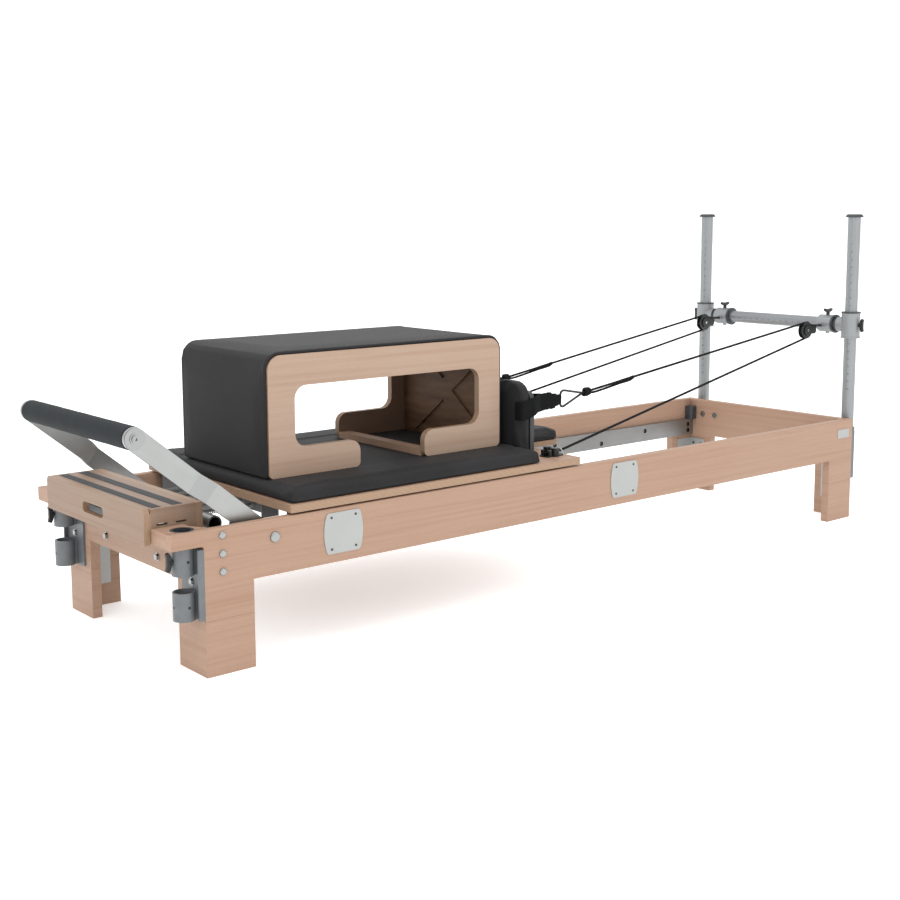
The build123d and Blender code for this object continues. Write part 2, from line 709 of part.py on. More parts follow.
def box_cover():
    """Padded cover over the top and both ends of the box, lapping the panels' edges."""
    outer = block(BOX_X0 - 8, BOX_X1 + 8, BOX_Y0 + 1.5, BOX_Y1 - 1.5, BOX_Z0, COVER_TOP)
    outer = fillet(outer.edges().filter_by(Axis.Y).group_by(Axis.Z)[-1], 44)
    body = block(BOX_X0, BOX_X1, BOX_Y0 - 5, BOX_Y1 + 5, BOX_Z0 - 5, BOX_SIDE_TOP)
    body = fillet(body.edges().filter_by(Axis.Y).group_by(Axis.Z)[-1], 36)
    lining = outer & block(BOX_X0, BOX_X1, BOX_Y0 + BOX_SIDE_T, BOX_Y1 - BOX_SIDE_T, BOX_Z0, COVER_TOP)
    hollow = block(BOX_X0 + 8, BOX_X1 - 8, BOX_Y0, BOX_Y1, BOX_Z0 - 5, 667)
    return (outer - body) + (lining - hollow)


def platform_body():
    """Standing platform: front and back boards, top and end panels."""
    front = block(PLAT_X0, PLAT_X0 + 14.5, -PLAT_HALF, PLAT_HALF, PLAT_Z0 - 4, PLAT_TOP)
    front = fillet(front.edges().filter_by(Axis.X).group_by(Axis.Z)[-1], 12)
    slot = fillet(block(-100, -70, -54, 54, 317, 342).edges().filter_by(Axis.X), 12)
    front += block(PLAT_X0 + 14, PLAT_X0 + 16, -PLAT_HALF, PLAT_HALF, PLAT_Z0, PLAT_TOP - 12)
    front -= slot
    body = front + block(PLAT_X1 - 16, PLAT_X1, -PLAT_HALF, PLAT_HALF, PLAT_Z0, PLAT_TOP - 2)
    body += block(PLAT_X0 + 16, PLAT_X1 - 16, -PLAT_HALF, PLAT_HALF, 351, PLAT_TOP - 2)
    for side in (-1, 1):
        y0, y1 = sorted((side * PLAT_HALF, side * (PLAT_HALF - 16)))
        body += block(PLAT_X0 + 16, PLAT_X1 - 16, y0, y1, PLAT_Z0, 351)
    for x in (-48, -2):
        body -= block(x - 13, x + 13, -PLAT_HALF - 5, PLAT_HALF + 5, 331.5, 336)
    for x0, x1 in ((-66, -44), (-16, 8)):
        body -= block(x0, x1, -PLAT_HALF + 12, PLAT_HALF - 12, PLAT_TOP - 3.5, PLAT_TOP)
    return body


def platform_strips():
    """Anti-slip strips let into the platform top."""
    return [block(x0, x1, -PLAT_HALF + 12, PLAT_HALF - 12, PLAT_TOP - 3.5, PLAT_TOP - 1.2)
            for x0, x1 in ((-66, -44), (-16, 8))]


def strap_shift(side):
    """How much further back the far strap hangs than the near one."""
    return 0.0 if side < 0 else 128.0


def strap(side):
    """Webbing loop around a shoulder rest with its sewn tail."""
    dx = strap_shift(side)
    y0, y1 = REST_Y0 - 1.0, REST_Y1 + 1.0
    x0, x1 = REST_X - 1.0, REST_X + 47.0
    tail = (1092.0 + dx, 238.0)
    loop = [(x0, -y0), (x0, -y1), (x1, -y1), (tail[0], -tail[1] - 2), (x1, -y0)]
    outer = offset(make_face(Polyline(*[(x, y) for x, y in loop], close=True)), 2.2)
    band = extrude(outer, amount=48) - extrude(make_face(Polyline(*loop, close=True)), amount=48)
    band = Pos(0, 0, 452) * band
    sleeve = block(tail[0], tail[0] + 73.5, -tail[1] - 5.5, -tail[1] + 1.5, 480, 520)
    sleeve += block(tail[0] - 6, tail[0] + 6, -tail[1] - 5, -tail[1] + 1, 470, 500)
    sleeve -= block(tail[0] + 67.2, tail[0] + 72.8, -tail[1] - 4.8, -tail[1] + 0.8, 470, 530)
    shape = band + sleeve
    return shape if side < 0 else far(shape)


def ring_points(side):
    """Corners of the wire triangle at the end of a strap."""
    x = 1162.0 + strap_shift(side)
    y = side * 240.0
    tip = knot_point(side)
    return (x, y, 524.0), (x, y, 476.0), tip


def knot_point(side):
    """Where the rope is knotted to the wire triangle."""
    return (1242.0 + strap_shift(side), side * 240.0, 504.5 if side < 0 else 488.0)


def bead_line(points, radius):
    """Round wire through the points with a ball at each corner."""
    shape = None
    for a, b in zip(points, points[1:]):
        start, end = Vector(*a), Vector(*b)
        leg = end - start
        plane = Plane(origin=start, z_dir=leg)
        rodlet = plane * Cylinder(radius, leg.length,
                                  align=(Align.CENTER, Align.CENTER, Align.MIN))
        rodlet += Pos(*a) * Sphere(radius)
        rodlet += Pos(*b) * Sphere(radius)
        shape = rodlet if shape is None else shape + rodlet
    return shape


def strap_rings():
    """Wire triangles between straps and ropes, 4.8 mm square in section."""
    shapes = []
    for side in (-1, 1):
        corners = ring_points(side)
        outline = make_face(Polyline(*[(x, z) for x, _, z in corners], close=True))
        ring = offset(outline, 2.4) - offset(outline, -2.4)
        ring = extrude(ring, amount=2.4, both=True)
        shapes.append(Pos(0, corners[0][1], 0) * (Rot(90, 0, 0) * ring))
    return shapes


def rope_points(side):
    """Corners of a rope's route: cleat, guide, two beyond the sheave, and the knot."""
    tip = knot_point(side)
    x, y, z = PULLEY_X + WRAP_R, side * PULLEY_Y, PULLEY_Z
    return [(CLEAT[0] - 26.0, side * CLEAT[1], CAR_Z1 + 7.6),
            (CLEAT[0] + 28.0, side * (CLEAT[1] - 1), CAR_Z1 + 9.0),
            (x, y, z - 21.4), (x, y, z + 28.2), (tip[0] + 10, tip[1], tip[2] + 1)]


def along(a, b, distance):
    """Point on the line from a towards b."""
    step = (Vector(*b) - Vector(*a)).normalized() * distance
    return tuple(Vector(*a) + step)


def ferrule(a, b, outer):
    """Short sleeve around a cord between two points of its centre line."""
    leg = Vector(*b) - Vector(*a)
    align = (Align.CENTER, Align.CENTER, Align.MIN)
    shape = Cylinder(outer, leg.length, align=align)
    shape -= Cylinder(ROPE_R + 0.02, leg.length, align=align)
    return Plane(origin=Vector(*a), z_dir=leg) * shape


def rope(side):
    """One rope with its knot, its doubled end and the sleeve that binds it."""
    points = rope_points(side)
    route = FilletPolyline(*points, radius=[120.0, WRAP_R, WRAP_R])
    cord = sweep(Plane(origin=route @ 0, z_dir=route % 0) * Circle(ROPE_R), path=route)
    end, before = points[-1], points[-2]
    marks = [along(end, before, d) for d in (2, 22, 148, 210)]
    under = [(x, y, z - 8.0) for x, y, z in (along(end, before, 22.5), along(end, before, 147.5))]
    return [cord, bead_line(under, ROPE_R * 0.9),
            ferrule(marks[0], marks[1], 12.0), ferrule(marks[2], marks[3], 6.0)]


def save(name, shapes):
    """Writes one node as a STEP file of separate solids."""
    if not isinstance(shapes, (list, tuple)):
        shapes = [shapes]
    solids = []
    for shape in shapes:
        solids += (Pos(-X_MID, 0, 0) * shape).solids()
    export_step(Compound(children=solids), f"parts/{name}.step")


def main():
    os.makedirs("parts", exist_ok=True)
    rail = side_rail()
    knobs = {"socket": socket_knobs(), "clamp": clamp_knobs(), "collar": collar_knobs()}
    nodes = {
        "side_rail_near": rail, "side_rail_far": far(rail),
        "foot_end_board": foot_end_board(), "riser_end_board": riser_end_board(),
        "corner_blocks": [corner_block(), far(corner_block())],
        "leg_extensions": leg_extensions(), "leg_joint_plates": leg_joint_plates(),
        "pole_brackets": pole_brackets(), "socket_rings": socket_rings(),
        "tracks": tracks(), "rear_stops": rear_stops(), "side_plates": side_plates(),
        "frame_bolts": frame_bolts(), "small_screws": small_screws(),
        "crossboard_plate": crossboard_plate(), "spring_bar": spring_bar(),
        "footbar_pivots": footbar_pivots(), "footbar_rests": footbar_rests(),
        "riser_poles": riser_poles(), "pole_caps": pole_caps(),
        "footbar_arms": footbar_arms(), "footbar_tube": footbar_tube(),
        "footbar_grip": footbar_grip(), "footbar_bolts": footbar_bolts(),
        "crossbar_tube": crossbar_tube(), "pole_clamps": pole_clamps(),
        "clamp_rings": clamp_rings(), "bar_collars": bar_collars(),
        "pulley_blocks": pulley_blocks(),
        "pulley_wheel_near": pulley_wheel(), "pulley_wheel_far": far(pulley_wheel()),
        "carriage_board": carriage_board(), "carriage_pad": carriage_pad(),
        "carriage_brackets": carriage_brackets(), "side_rollers": side_rollers(),
        "front_wheels": track_wheels(WHEEL_XS[0]), "rear_wheels": track_wheels(WHEEL_XS[1]),
        "rope_cleats": rope_cleats(), "springs": springs(),
        "headrest_board": headrest_board(), "headrest_pad": headrest_pad(),
        "shoulder_rest_near": shoulder_rest(), "shoulder_rest_far": far(shoulder_rest()),
        "shoulder_pad_near": shoulder_pad(), "shoulder_pad_far": far(shoulder_pad()),
        "box_sides": box_sides(), "box_frame": box_frame(), "box_cover": box_cover(),
        "platform_body": platform_body(), "platform_strips": platform_strips(),
        "straps": [strap(-1), strap(1)], "strap_rings": strap_rings(),
        "rope_near": rope(-1), "rope_far": rope(1),
    }
    for kind, (near, other) in knobs.items():
        nodes[f"{kind}_knob_near"] = near
        nodes[f"{kind}_knob_far"] = other
    for name, shapes in nodes.items():
        save(name, shapes)


if __name__ == "__main__":
    main()
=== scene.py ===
"""Looks, padding, ropes and studio of a wooden pilates reformer on its fixed frame."""
from __future__ import annotations

import logging
import math
from dataclasses import dataclass, field
from enum import Enum
from typing import Callable, Iterable, Sequence

import bmesh
import bpy
import numpy as np
from mathutils import Euler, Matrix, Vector

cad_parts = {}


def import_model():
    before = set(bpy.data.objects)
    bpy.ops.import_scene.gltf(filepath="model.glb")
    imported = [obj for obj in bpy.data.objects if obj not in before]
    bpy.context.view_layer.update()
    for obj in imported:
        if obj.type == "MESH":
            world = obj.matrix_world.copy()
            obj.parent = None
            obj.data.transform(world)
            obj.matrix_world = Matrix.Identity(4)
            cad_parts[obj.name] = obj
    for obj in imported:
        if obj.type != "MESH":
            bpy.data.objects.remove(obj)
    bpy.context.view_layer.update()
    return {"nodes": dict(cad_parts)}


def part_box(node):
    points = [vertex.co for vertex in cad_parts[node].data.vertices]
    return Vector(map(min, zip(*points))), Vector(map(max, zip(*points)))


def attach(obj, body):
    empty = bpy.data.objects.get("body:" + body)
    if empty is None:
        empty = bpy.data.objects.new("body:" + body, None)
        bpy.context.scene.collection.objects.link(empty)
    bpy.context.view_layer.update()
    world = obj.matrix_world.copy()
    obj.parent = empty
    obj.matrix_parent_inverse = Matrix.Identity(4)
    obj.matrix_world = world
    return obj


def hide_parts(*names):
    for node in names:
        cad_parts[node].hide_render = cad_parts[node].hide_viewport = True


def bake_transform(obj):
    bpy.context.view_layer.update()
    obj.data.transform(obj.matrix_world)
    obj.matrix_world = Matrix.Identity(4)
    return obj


LOG = logging.getLogger("reformer")
MIDDLE_X = 1159.25

Colour = tuple[float, float, float]
Array = np.ndarray


def spot(x: float, y: float, z: float) -> Array:
    """A point of the bench layout in millimetres, as metres in the row frame."""
    return np.array([x - MIDDLE_X, y, z]) * 0.001


def linear(text: str) -> Colour:
    """Linear colour of a six-digit screen colour."""
    parts = [int(text[i:i + 2], 16) / 255 for i in (0, 2, 4)]
    return tuple(p / 12.92 if p <= 0.04045 else ((p + 0.055) / 1.055) ** 2.4 for p in parts)


# ---------------------------------------------------------------- shader maths


class Term:
    """A shader socket that takes part in Python arithmetic."""

    def __init__(self, net: Net, socket: bpy.types.NodeSocket) -> None:
        """Keeps the net that the socket belongs to."""
        self.net, self.socket = net, socket

    def math(self, operation: str, *others: Term | float, first: float | None = None) -> Term:
        """One Math node on this term.

        Args:
            operation: the Math node's operation.
            others: further operands.
            first: a number that stands before this term.

        Returns:
            The node's result.
        """
        operands = ([self] if first is None else [first, self]) + list(others)
        return self.net.node("ShaderNodeMath", dict(enumerate(operands)), operation=operation)

    def __add__(self, other: Term | float) -> Term:
        """Sum."""
        return self.math("ADD", other)

    __radd__ = __add__

    def __mul__(self, other: Term | float) -> Term:
        """Product."""
        return self.math("MULTIPLY", other)

    __rmul__ = __mul__

    def __sub__(self, other: Term | float) -> Term:
        """Difference."""
        return self.math("SUBTRACT", other)

    def __rsub__(self, other: float) -> Term:
        """A number less this term."""
        return self.math("SUBTRACT", first=other)

    def __truediv__(self, other: Term | float) -> Term:
        """Quotient."""
        return self.math("DIVIDE", other)

    def __pow__(self, other: float) -> Term:
        """Power."""
        return self.math("POWER", other)

    def __abs__(self) -> Term:
        """Size without sign."""
        return self.math("ABSOLUTE")

    def __gt__(self, other: Term | float) -> Term:
        """One where this term is the greater, else zero."""
        return self.math("GREATER_THAN", other)

    def wave(self) -> Term:
        """Sine, from -1 to 1."""
        return self.math("SINE")

    def part(self) -> Term:
        """What is left above the whole number."""
        return self.math("FRACT")

    def ramp(self, low: float, high: float) -> Term:
        """Smooth rise from 0 at low to 1 at high."""
        return self.net.node("ShaderNodeMapRange", {"Value": self, "From Min": low, "From Max": high},
                             interpolation_type="SMOOTHSTEP")


class Net:
    """The node tree of one finish."""

    def __init__(self, name: str) -> None:
        """Starts an empty material with its output and shader."""
        self.material = bpy.data.materials.new(name)
        self.material.use_nodes = True
        self.tree = self.material.node_tree
        self.tree.nodes.clear()
        self.output = self.tree.nodes.new("ShaderNodeOutputMaterial")
        self.shader = self.tree.nodes.new("ShaderNodeBsdfPrincipled")
        self.tree.links.new(self.shader.outputs[0], self.output.inputs["Surface"])

    def plug(self, socket: bpy.types.NodeSocket, value: Term | float | Sequence[float]) -> None:
        """Links a term to a socket, or sets the socket's own value."""
        if isinstance(value, Term):
            self.tree.links.new(value.socket, socket)
        elif isinstance(value, tuple) and socket.type == "RGBA":
            socket.default_value = (*value, 1.0)
        else:
            socket.default_value = value

    def node(self, kind: str, inputs: dict | None = None, out: int = 0, **settings: object) -> Term:
        """Makes one node.

        Args:
            kind: the node's type.
            inputs: values or terms by socket name or place.
            out: place of the wanted output.
            settings: attributes of the node, set before its sockets.

        Returns:
            The wanted output.
        """
        made = self.tree.nodes.new(kind)
        for key, value in settings.items():
            setattr(made, key, value)
        for key, value in (inputs or {}).items():
            self.plug(made.inputs[key], value)
        return Term(self, made.outputs[out])

    def place(self) -> Term:
        """Position on the piece in metres."""
        return self.node("ShaderNodeTexCoord", out=3)

    def facing(self) -> tuple[Term, Term, Term]:
        """The three parts of the surface direction."""
        return self.split(self.node("ShaderNodeTexCoord", out=1))

    def cloth_place(self) -> Term:
        """Position along the piece's own surface."""
        return self.node("ShaderNodeTexCoord", out=2)

    def split(self, vector: Term) -> tuple[Term, Term, Term]:
        """The three parts of a vector."""
        made = self.tree.nodes.new("ShaderNodeSeparateXYZ")
        self.tree.links.new(vector.socket, made.inputs[0])
        return tuple(Term(self, o) for o in made.outputs)

    def join(self, x: Term | float, y: Term | float, z: Term | float) -> Term:
        """A vector from three parts."""
        return self.node("ShaderNodeCombineXYZ", {0: x, 1: y, 2: z})

    def noise(self, at: Term, scale: float, detail: float = 2.0, rough: float = 0.5) -> Term:
        """Cloudy value about 0.5."""
        return self.node("ShaderNodeTexNoise",
                         {"Vector": at, "Scale": scale, "Detail": detail, "Roughness": rough})

    def cells(self, at: Term, scale: float) -> Term:
        """Distance to the nearest of scattered points."""
        return self.node("ShaderNodeTexVoronoi", {"Vector": at, "Scale": scale})

    def mix(self, first: Term | Colour, second: Term | Colour, share: Term | float) -> Term:
        """Colour between two colours."""
        return self.node("ShaderNodeMix", {0: share, 6: first, 7: second}, out=2, data_type="RGBA")

    def pick(self, first: Term | float, second: Term | float, share: Term) -> Term:
        """Number between two numbers."""
        return self.node("ShaderNodeMix", {0: share, 2: first, 3: second}, data_type="FLOAT")

    def finish(self, colour: Term | Colour, rough: Term | float, metal: Term | float = 0.0,
               height: Term | None = None, depth: float = 0.0005, strength: float = 0.5,
               **constants: float) -> bpy.types.Material:
        """Fills the shader.

        Args:
            colour: base colour.
            rough: roughness.
            metal: share of bare metal.
            height: relief for the bump, or none.
            depth: height of the relief in metres.
            strength: strength of the bump.
            constants: further shader sockets, by name with underscores.

        Returns:
            The finished material.
        """
        self.plug(self.shader.inputs["Base Color"], colour)
        self.plug(self.shader.inputs["Roughness"], rough)
        self.plug(self.shader.inputs["Metallic"], metal)
        if height is not None:
            bump = self.node("ShaderNodeBump", {"Height": height, "Distance": depth,
                                                "Strength": strength})
            self.plug(self.shader.inputs["Normal"], bump)
        for key, value in constants.items():
            self.shader.inputs[key.replace("_", " ")].default_value = value
        return self.material


class Grain(Enum):
    """Which way the long fibres of a wooden piece run."""

    LENGTH = "x"
    WIDTH = "y"
    UPRIGHT = "z"
    AROUND = "level on every face"
    ACROSS = "across, but level on the end faces"


@dataclass(frozen=True)
class Beech:
    """Lacquered steamed beech, solid or as plywood with its layers on the edges."""

    name: str
    grain: Grain = Grain.LENGTH
    light: Colour = linear("A58874")
    dark: Colour = linear("916F5A")
    layers: int | None = None
    layer: float = 0.0015
    beyond: tuple[float, float] | None = None
    # Mask of the inner faces that get painted shade, a darker brown mixed into the wood.
    inner_shade: Callable[[Term, Term, Term], Term] | None = None
    seed: float = 0.0

    def build(self) -> bpy.types.Material:
        """Streaks, rings, short rays, painted shade on inner faces and, on edges, plies.

        Returns:
            The material.
        """
        net = Net(self.name)
        x, y, z = net.split(net.place())
        nx, ny, nz = net.facing()
        order = {Grain.LENGTH: (x, y, z), Grain.WIDTH: (y, x, z), Grain.UPRIGHT: (z, x, y)}
        if self.grain is Grain.AROUND:
            end = abs(nx) > 0.7
            along, across, up = net.pick(x, y, end), net.pick(y, x, end), z
        elif self.grain is Grain.ACROSS:
            end = abs(ny) > 0.7
            along, across, up = net.pick(y, x, end), net.pick(x, y, end), z
        else:
            along, across, up = order[self.grain]
        along = along + self.seed
        meander = net.noise(net.join(along * 1.6, across * 5.0, up * 5.0), 1.0, 2.0)
        off = across + 0.09 + self.seed * 0.13
        rise = up - 0.62
        radius = (off * off + rise * rise) ** 0.5
        rings = ((radius * 95.0 + meander * 3.0) * 6.2832).wave() * 0.5 + 0.5
        streaks = net.noise(net.join(along * 1.3, across * 75.0, up * 75.0), 1.0, 3.0, 0.6)
        lines = net.noise(net.join(along * 7.0, across * 420.0, up * 420.0), 1.0, 2.0, 0.6)
        rays = net.noise(net.join(along * 90.0, across * 700.0, up * 700.0), 1.0, 1.0).ramp(0.62, 0.72)
        clouds = net.noise(net.join(along * 2.0, across * 9.0, up * 9.0), 1.0, 1.0)
        figure = rings * 0.07 + streaks.ramp(0.42, 0.78) * 0.45 + lines * 0.36 + clouds * 0.2 - 0.06
        colour = net.mix(self.light, self.dark, figure)
        # Painted shade: inner faces, where shade falls, are mixed towards a darker brown.
        if self.inner_shade is not None:
            colour = net.mix(colour, linear("6E5747"), self.inner_shade(x, y, z) * 0.85)
        colour = net.mix(colour, linear("7D5A45"), rays * 0.20)
        if self.layers is not None:
            part, side = ((x, nx), (y, ny), (z, nz))[self.layers]
            edge = 1.0 - abs(side).ramp(0.45, 0.8)
            if self.beyond is not None:
                edge = edge * (abs(part - self.beyond[0]) > self.beyond[1])
            sheet = (part / (self.layer * 2.0)).part()
            dark = sheet.ramp(0.42, 0.52) * (1.0 - sheet.ramp(0.90, 0.99))
            tone = net.mix(linear("AB9078"), linear("80644D"), dark * 0.75 + lines * 0.3)
            colour = net.mix(colour, tone, edge)
        rough = 0.40 + lines * 0.14 + rays * 0.1
        relief = lines * 0.6 + streaks * 0.4
        return net.finish(colour, rough, height=relief, depth=0.00025, strength=0.25,
                          Specular_IOR_Level=0.35)


@dataclass(frozen=True)
class InnerPly:
    """Dark stained plywood inside the sitting box."""

    name: str = "inner_ply"

    def build(self) -> bpy.types.Material:
        """Broad brown figure with open pores.

        Returns:
            The material.
        """
        net = Net(self.name)
        x, y, z = net.split(net.place())
        waves = net.noise(net.join(x * 3.0, y * 3.2, z * 26.0), 1.0, 4.0, 0.6)
        pores = net.noise(net.join(x * 60.0, y * 60.0, z * 600.0), 1.0, 2.0)
        colour = net.mix(linear("84654B"), linear("523A29"), waves.ramp(0.3, 0.7) * 0.7 + pores * 0.3)
        batten = (1.0 - (z > 0.404)) * (x > spot(455, 0, 0)[0]) * (1.0 - (x > spot(756, 0, 0)[0]))
        colour = net.mix(colour, linear("A98A73"), batten)
        return net.finish(colour, 0.5 + pores * 0.15, height=pores, depth=0.0003, strength=0.3,
                          Specular_IOR_Level=0.3)


@dataclass(frozen=True)
class Hide:
    """Matt synthetic leather with fine pebbled grain."""

    name: str = "upholstery"
    base: Colour = linear("212122")
    worn: Colour = linear("28282A")

    def build(self) -> bpy.types.Material:
        """Pebbles about a millimetre across, with faint creases and handling marks.

        Returns:
            The material.
        """
        net = Net(self.name)
        at = net.place()
        pebbles = net.cells(at, 760.0)
        fine = net.noise(at, 1900.0, 2.0)
        creases = net.noise(at, 42.0, 5.0, 0.65)
        handled = net.noise(at, 5.0, 2.0)
        valley = pebbles.ramp(0.15, 0.65)
        colour = net.mix(self.base, self.worn, handled.ramp(0.35, 0.7) * 0.6 + (1.0 - valley) * 0.35)
        relief = (1.0 - valley) * 0.75 + fine * 0.2 + creases * 0.45
        rough = 0.47 + valley * 0.14 + handled * 0.06
        return net.finish(colour, rough, height=relief, depth=0.00022, strength=0.55,
                          Specular_IOR_Level=0.14, Sheen_Weight=0.03, Sheen_Roughness=0.45)


@dataclass(frozen=True)
class Foam:
    """Closed-cell foam of the footbar grip."""

    name: str = "foam"

    def build(self) -> bpy.types.Material:
        """Tiny open cells over a soft mottling.

        Returns:
            The material.
        """
        net = Net(self.name)
        at = net.place()
        cells = net.cells(at, 900.0)
        mottle = net.noise(at, 60.0, 3.0)
        colour = net.mix(linear("1C2022"), linear("292D2F"), mottle * 0.6 + cells * 0.5)
        return net.finish(colour, 0.80 + cells * 0.1, height=cells + mottle * 0.3, depth=0.0003,
                          strength=0.6, Specular_IOR_Level=0.15, Sheen_Weight=0.04,
                          Sheen_Roughness=0.5)


@dataclass(frozen=True)
class Metal:
    """Metal with its machining lines, tone changes and small marks."""

    name: str
    tone: Colour
    shade: Colour
    rough: float = 0.32
    metal: float = 1.0
    lines: Colour = (4.0, 900.0, 900.0)
    turn: float = 0.0
    marks: float = 0.12
    # Mask of holes that get near-black painted shade.
    hole_shade: Callable[[Term, Term, Term], Term] | None = None

    def build(self) -> bpy.types.Material:
        """Fine lines along one direction, clouded wear, thin scratches and, where asked, near-black painted
        shade in holes.

        Returns:
            The material.
        """
        net = Net(self.name)
        at = net.place()
        if self.turn:
            at = net.node("ShaderNodeMapping", {"Vector": at, "Rotation": (0.0, self.turn, 0.0)})
        x, y, z = net.split(at)
        kx, ky, kz = self.lines
        brush = net.noise(net.join(x * kx, y * ky, z * kz), 1.0, 3.0, 0.65)
        cloud = net.noise(at, 14.0, 3.0)
        scratch = net.noise(net.join(x * kx * 0.6, y * ky * 0.35, z * kz * 0.35), 1.0, 1.0)
        scratch = scratch.ramp(0.70, 0.78)
        colour = net.mix(self.tone, self.shade, brush * 0.55 + cloud * 0.45)
        # Painted shade: near black inside holes.
        if self.hole_shade is not None:
            colour = net.mix(colour, linear("0A0A0A"), self.hole_shade(*net.split(net.place())))
        rough = self.rough + (brush - 0.5) * self.marks * 2.0 + cloud * self.marks + scratch * 0.1
        return net.finish(colour, rough, self.metal, height=brush + scratch * 0.5, depth=0.00006,
                          strength=0.3)


@dataclass(frozen=True)
class Enamel:
    """Stove-enamelled steel or moulded plastic with a light orange-peel skin."""

    name: str
    tone: Colour
    shade: Colour
    rough: float = 0.42
    peel: float = 420.0
    gloss: float = 0.5
    bright: Callable[[Term, Term, Term], Term] | None = None

    def build(self) -> bpy.types.Material:
        """Orange peel, faint dust and rubbed patches.

        Returns:
            The material.
        """
        net = Net(self.name)
        at = net.place()
        skin = net.noise(at, self.peel, 2.0)
        rubbed = net.noise(at, 28.0, 4.0, 0.6)
        dust = net.noise(at, 1500.0, 1.0).ramp(0.66, 0.74)
        colour = net.mix(self.tone, self.shade, rubbed.ramp(0.3, 0.7) * 0.7 + skin * 0.3)
        rough = self.rough + rubbed * 0.14 - 0.05 + dust * 0.06
        metal = 0.0
        if self.bright is not None:
            metal = self.bright(*net.split(at))
            colour = net.mix(colour, linear("B9BBBC"), metal)
            rough = rough - metal * 0.15
        return net.finish(colour, rough, metal, height=skin + rubbed * 0.2, depth=0.0001, strength=0.3,
                          Specular_IOR_Level=self.gloss)


@dataclass(frozen=True)
class Grit:
    """Gritty rubber of the anti-slip strips."""

    name: str = "grip_strip"

    def build(self) -> bpy.types.Material:
        """Coarse grains that catch the light here and there.

        Returns:
            The material.
        """
        net = Net(self.name)
        at = net.place()
        grains = net.cells(at, 620.0)
        glint = net.noise(at, 1400.0, 1.0).ramp(0.6, 0.7)
        colour = net.mix(linear("2B2C2E"), linear("414345"), grains * 0.6 + glint * 0.35)
        return net.finish(colour, 0.72 - glint * 0.25, height=grains, depth=0.0005, strength=0.8)


@dataclass(frozen=True)
class Braid:
    """Braided polyester cord, patterned along its own surface."""

    name: str = "black_cord"
    pitch: float = 0.008

    def build(self) -> bpy.types.Material:
        """Two families of strands that cross in diamonds.

        Returns:
            The material.
        """
        net = Net(self.name)
        u, v, _ = net.split(net.cloth_place())
        steps = v / self.pitch
        left = ((u * 4.0 + steps) * 6.2832).wave()
        right = ((u * 4.0 - steps) * 6.2832).wave()
        strand = abs(left * right)
        fibre = net.noise(net.join(u * 90.0, v * 3000.0, 0.0), 1.0, 2.0)
        colour = net.mix(linear("060708"), linear("17181A"), strand * 0.7 + fibre * 0.3)
        return net.finish(colour, 0.62 + fibre * 0.15, height=strand + fibre * 0.2, depth=0.0006,
                          strength=0.7, Specular_IOR_Level=0.15)


@dataclass(frozen=True)
class Webbing:
    """Flat woven strap with ribs across it and a firm edge."""

    name: str = "black_webbing"
    rib: float = 0.0016

    def build(self) -> bpy.types.Material:
        """Herringbone ribs along the strap with a loose fibre haze.

        Returns:
            The material.
        """
        net = Net(self.name)
        u, v, _ = net.split(net.cloth_place())
        zigzag = abs((u * 9.0).part() - 0.5)
        ribs = ((v / self.rib + zigzag * 3.0) * 6.2832).wave() * 0.5 + 0.5
        haze = net.noise(net.join(u * 120.0, v * 2200.0, 0.0), 1.0, 2.0)
        colour = net.mix(linear("050606"), linear("131416"), ribs * 0.6 + haze * 0.4)
        return net.finish(colour, 0.70 + haze * 0.15, height=ribs + haze * 0.2, depth=0.0005,
                          strength=0.6, Specular_IOR_Level=0.12)


@dataclass(frozen=True)
class Ink:
    """Printed scale marks."""

    name: str = "scale_ink"

    def build(self) -> bpy.types.Material:
        """Slightly uneven dark print.

        Returns:
            The material.
        """
        net = Net(self.name)
        uneven = net.noise(net.place(), 1800.0, 2.0)
        return net.finish(net.mix(linear("1E2022"), linear("34373A"), uneven), 0.5 + uneven * 0.1)


# ---------------------------------------------------------------- surfaces


def outward(mesh: bpy.types.Mesh) -> None:
    """Turns every face of a closed mesh outwards."""
    work = bmesh.new()
    work.from_mesh(mesh)
    bmesh.ops.recalc_face_normals(work, faces=work.faces)
    work.to_mesh(mesh)
    work.free()


def piece(name: str, mesh: bpy.types.Mesh, material: bpy.types.Material,
          crease: float = 0.7) -> bpy.types.Object:
    """Links a smooth-shaded piece at the origin.

    Args:
        name: the piece's name.
        mesh: its mesh in the row frame.
        material: its finish.
        crease: faces that meet at a larger angle keep a sharp edge.

    Returns:
        The object.
    """
    mesh.shade_smooth()
    mesh.set_sharp_from_angle(angle=crease)
    mesh.materials.clear()
    mesh.materials.append(material)
    made = bpy.data.objects.new(name, mesh)
    bpy.context.scene.collection.objects.link(made)
    LOG.info("piece %s with %d faces", name, len(mesh.polygons))
    return made


